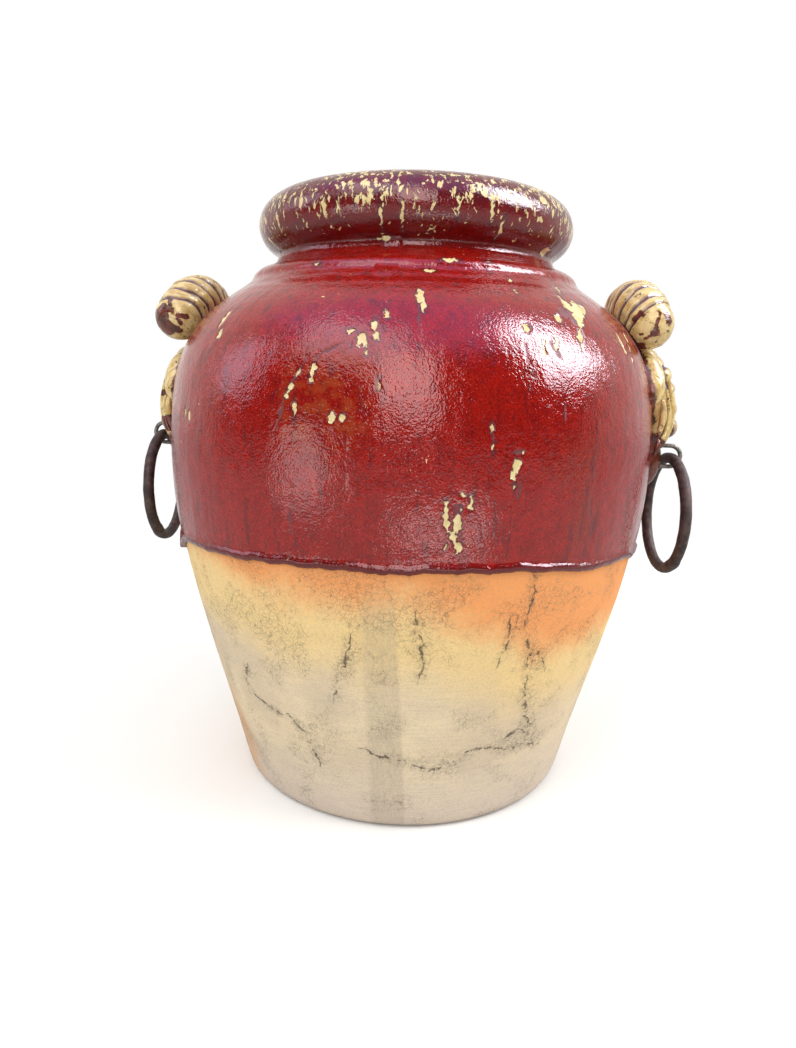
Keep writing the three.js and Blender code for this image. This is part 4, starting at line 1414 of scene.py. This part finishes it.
def lamp(name, place, size, power, mirrored_only=False):
    """A soft box: a rectangle of light at a place, facing the pot's middle, sized in metres."""
    light = bpy.data.lights.new(name, "AREA")
    light.shape = "RECTANGLE"
    light.size, light.size_y = size
    light.energy = power
    box = bpy.data.objects.new(name, light)
    turn = (POT_MIDDLE - place).to_track_quat("-Z", "Y")
    box.matrix_world = Matrix.Translation(place) @ turn.to_matrix().to_4x4()
    box.visible_camera = False
    box.visible_diffuse = not mirrored_only
    bpy.context.scene.collection.objects.link(box)


lamp("key", around(80, 42, 2.4), (1.1, 1.1), 22)
lamp("fill", around(-35, 50, 2.4), (1.6, 1.6), 20)
lamp("low_card_left", around(-38, -5, 1.1), (0.4, 0.36), 1.2, mirrored_only=True)
lamp("low_card_front", around(18, -21, 0.66), (0.38, 0.1), 0.5, mirrored_only=True)


def grey(level):
    """A plain grey, from 0 for black to 1 for white."""
    return (level, level, level, 1)


def floor_finish():
    """White paper that runs into a white background, and throws less light back than it shows."""
    material, place = new_finish("floor")
    rays = place.node("ShaderNodeLightPath", {}, output="Is Camera Ray")
    diffuse = place.node("ShaderNodeBsdfDiffuse", {"Color": layer(rays, grey(0.6), grey(0.97))})
    white = place.node("ShaderNodeEmission", {"Color": grey(1), "Strength": 1.0})
    away = place.node("ShaderNodeVectorMath", {0: place}, output="Value", operation="LENGTH")
    far = soft_step(away, 0.45, 1.0)
    shader = place.node("ShaderNodeMixShader", {0: far * rays, 1: diffuse, 2: white})
    place.node("ShaderNodeOutputMaterial", {"Surface": shader})
    return material


floor_form = bmesh.new()
bmesh.ops.create_grid(floor_form, x_segments=1, y_segments=1, size=FLOOR_HALF)
floor_mesh = bpy.data.meshes.new("floor")
floor_form.to_mesh(floor_mesh)
floor_form.free()
floor = bpy.data.objects.new("floor", floor_mesh)
floor_mesh.materials.append(floor_finish())
bpy.context.scene.collection.objects.link(floor)
print("floor and lamps ready")

# %% The room that the glaze mirrors

WINDOWS = [  # azimuth, elevation, half width and half height in degrees, and light
    (3, 30, 13, 21, (6.5, 4.9, 4.9, 1)), (-84, 26, 11, 14, (3.0, 2.6, 3.2, 1)),
    (89, 41, 18, 20, (17.0, 16.2, 18.0, 1)),
]

world = bpy.data.worlds.new("studio")
bpy.context.scene.world = world
world.use_nodes = True
world.node_tree.nodes.clear()
tree = world.node_tree
direction = Paint(tree, tree.nodes.new("ShaderNodeTexCoord").outputs["Generated"])
to_right, to_back, upward = parts_of(direction)
azimuth = in_degrees(calculated("ARCTAN2", to_right, -to_back))
elevation = in_degrees(calculated("ARCSINE", upward))
wander = (grain(direction, 0.22, 3, 0.6) - 0.5) * 1.5 + (grain(direction, 0.05, 3, 0.7) - 0.5) * 1.1


def window(middle, level, half_width, half_height):
    """1 in a window of the room and 0 outside it; its edge is as uneven as trees and curtains."""
    across = calculated("ABSOLUTE", azimuth - middle) / half_width
    up = calculated("ABSOLUTE", elevation - level) / half_height
    return soft_step(calculated("MAXIMUM", across, up) + wander, 1.12, 0.88)


room = layer(soft_step(to_back, -0.25, 0.35), (0.10, 0.08, 0.08, 1), (1.0, 0.96, 0.92, 1))
sky = soft_step(elevation + wander * 6, 40, 52) * soft_step(to_back, 0.5, 0.0)
room = layer(sky, room, (1.15, 0.8, 1.6, 1))
for *window_place, light in WINDOWS:
    room = layer(window(*window_place), room, light)
rays = direction.node("ShaderNodeLightPath", {}, output="Is Camera Ray")
mirrored = Paint(tree, rays.socket.node.outputs["Is Glossy Ray"])
through = Paint(tree, rays.socket.node.outputs["Is Transmission Ray"])
seen = layer(mirrored, grey(0.92), room)
seen = layer(calculated("MAXIMUM", rays, through), seen, grey(1))
background = seen.node("ShaderNodeBackground", {"Color": seen, "Strength": 1.0})
background.node("ShaderNodeOutputWorld", {"Surface": background})
print("studio ready")

# %% [markdown]
# ## Colours as written
# The picture shows every colour as it is written, with the Standard view transform.

# %% Show colours as written
bpy.context.scene.view_settings.view_transform = "Standard"
